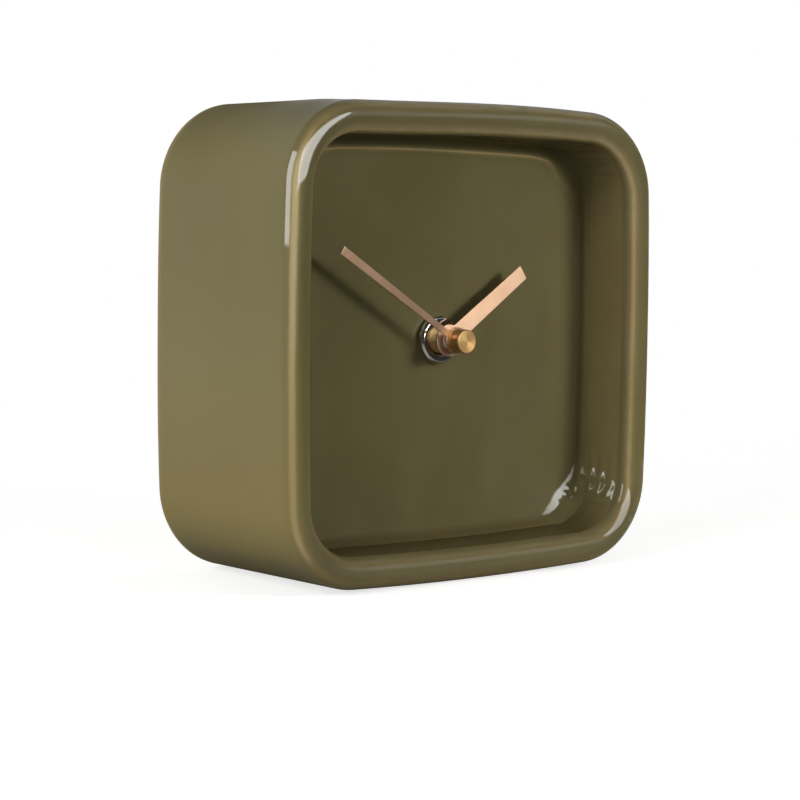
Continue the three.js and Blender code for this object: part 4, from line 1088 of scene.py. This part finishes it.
def floorMaterial():
    # A matt table that takes the shadow. Where the camera looks it fades into white away from the
    # clock. For light and reflections it ends a little before the clock, where the room is seen.
    material, r = newMaterial("paleTable")
    kinds = r.node("LightPath")
    seen = kinds.output("Is Camera Ray").most(kinds.output("Is Transmission Ray"))
    where = r.place()
    x, y, z = r.apart(where)
    fade = r.ranged((x * x + y * y) ** 0.5, studio["fadeFrom"], studio["fadeTo"], smooth=True)

    def glowing(strength):
        return r.node("Emission", {}, {"Color": white, "Strength": strength})

    def either(factor, one, other):
        return r.node("MixShader", {}, {0: factor, 1: one, 2: other})

    matt = r.node("BsdfDiffuse", {}, {"Color": studio["floorColour"]})
    lit = r.node("AddShader", {}, {0: matt, 1: glowing(studio["floorGlow"])})
    tone = roomTone(r, r.node("VectorMath", {"operation": "NORMALIZE"}, {0: where}))
    edge, blur = studio["tableFront"], studio["tableBlur"]
    front = r.ranged(y, edge - blur, edge + blur, 1.0, 0.0, True)
    felt = either(fade.most(front), matt, glowing(tone))
    r.surface(either(seen, felt, either(fade, lit, glowing(1.0))))
    return material


floor = floorDisc()
floor.data.materials.append(floorMaterial())


def worldLight():
    # white where the camera looks; the object is lit by, and mirrors, the room's own tone
    world = bpy.data.worlds.new("room")
    bpy.context.scene.world = world
    world.use_nodes = True
    r = Recipe(world.node_tree)
    camera = r.node("LightPath").output("Is Camera Ray")
    strength = roomTone(r, r.node("TexCoord", out=0)).most(camera)
    glow = r.node("Background", {}, {"Color": white, "Strength": strength})
    r.node("OutputWorld", {}, {"Surface": glow})


worldLight()

# Azimuth, elevation, distance, width, height and power. Azimuth 0 is in front of the dial and grows
# to the right. A lamp only lights, and a card only shows in glaze and metal.
lamps = {
    "keyLamp": (24.5, 16, 0.42, 0.125, 0.105, 0.77), "frontCard": (-4, 23, 1.3, 1.56, 0.8, 32.4),
    "leftLamp": (-80, 21, 1.2, 0.86, 0.78, 9.5), "leftCard": (-94.5, 21, 1.2, 0.76, 0.78, 13.0),
    "sideCard": (41.5, 21, 1.3, 0.64, 0.46, 0.75), "lowCard": (-27, 1.4, 1.3, 0.4, 0.2, 0.23),
    "topCard": (108, 47, 1.3, 1.1, 0.7, 1.0), "backLamp": (172, 12, 1.4, 0.8, 0.5, 4.6),
    "rightLamp": (98, 16, 1.4, 0.6, 0.5, 4.2),
}


def away(azimuth, elevation):
    # direction from the shaft, both angles in radians
    flat = math.cos(elevation)
    return Vector((math.sin(azimuth) * flat, -math.cos(azimuth) * flat, math.sin(elevation)))


def rectangleLamp(name, azimuth, elevation, distance, width, height, power):
    # faces the shaft
    toLamp = away(math.radians(azimuth), math.radians(elevation))
    data = bpy.data.lights.new(name, "AREA")
    data.shape = "RECTANGLE"
    data.size, data.size_y, data.energy = width, height, power
    lamp = newObject(name, data)
    lamp.rotation_mode = "QUATERNION"
    lamp.location = Vector((0, 0, shaftZ * mm)) + toLamp * distance
    lamp.rotation_quaternion = toLamp.to_track_quat("Z", "Y")
    lamp.visible_camera = False
    lamp.visible_diffuse = name.endswith("Lamp")
    lamp.visible_glossy = name.endswith("Card")


for name, values in lamps.items():
    rectangleLamp(name, *values)

cameraFit = {
    "azimuth": -38.9, "elevation": 2.69, "distance": 0.60757, "lens": 91.84,
    "yaw": -0.34, "pitch": -1.75, "roll": 0.64, "sensor": 36, "nearest": 0.05, "farthest": 20,
}


def photoCamera():
    # stands on a line through the shaft, then turns by small yaw, pitch and roll
    f = cameraFit
    azimuth, elevation, yaw, pitch, roll = (
        math.radians(f[key]) for key in ("azimuth", "elevation", "yaw", "pitch", "roll")
    )
    back, up = away(azimuth, elevation), Vector((0, 0, 1))
    right = (-back).cross(up).normalized()
    above = right.cross(-back)
    ahead = (-back + math.tan(yaw) * right + math.tan(pitch) * above).normalized()
    right = ahead.cross(up).normalized()
    above = right.cross(ahead)
    cosR, sinR = math.cos(roll), math.sin(roll)
    axisX = cosR * right + sinR * above
    axisY = -sinR * right + cosR * above
    data = bpy.data.cameras.new("photoCamera")
    data.lens, data.sensor_width = f["lens"], f["sensor"]
    data.clip_start, data.clip_end = f["nearest"], f["farthest"]
    camera = newObject("photoCamera", data)
    turned = Matrix((axisX, axisY, -ahead)).transposed().to_4x4()
    place = Vector((0, 0, shaftZ * mm)) + back * f["distance"]
    camera.matrix_world = Matrix.Translation(place) @ turned
    bpy.context.scene.camera = camera


photoCamera()
bpy.context.scene.view_settings.view_transform = "Standard"
print("light and camera set")
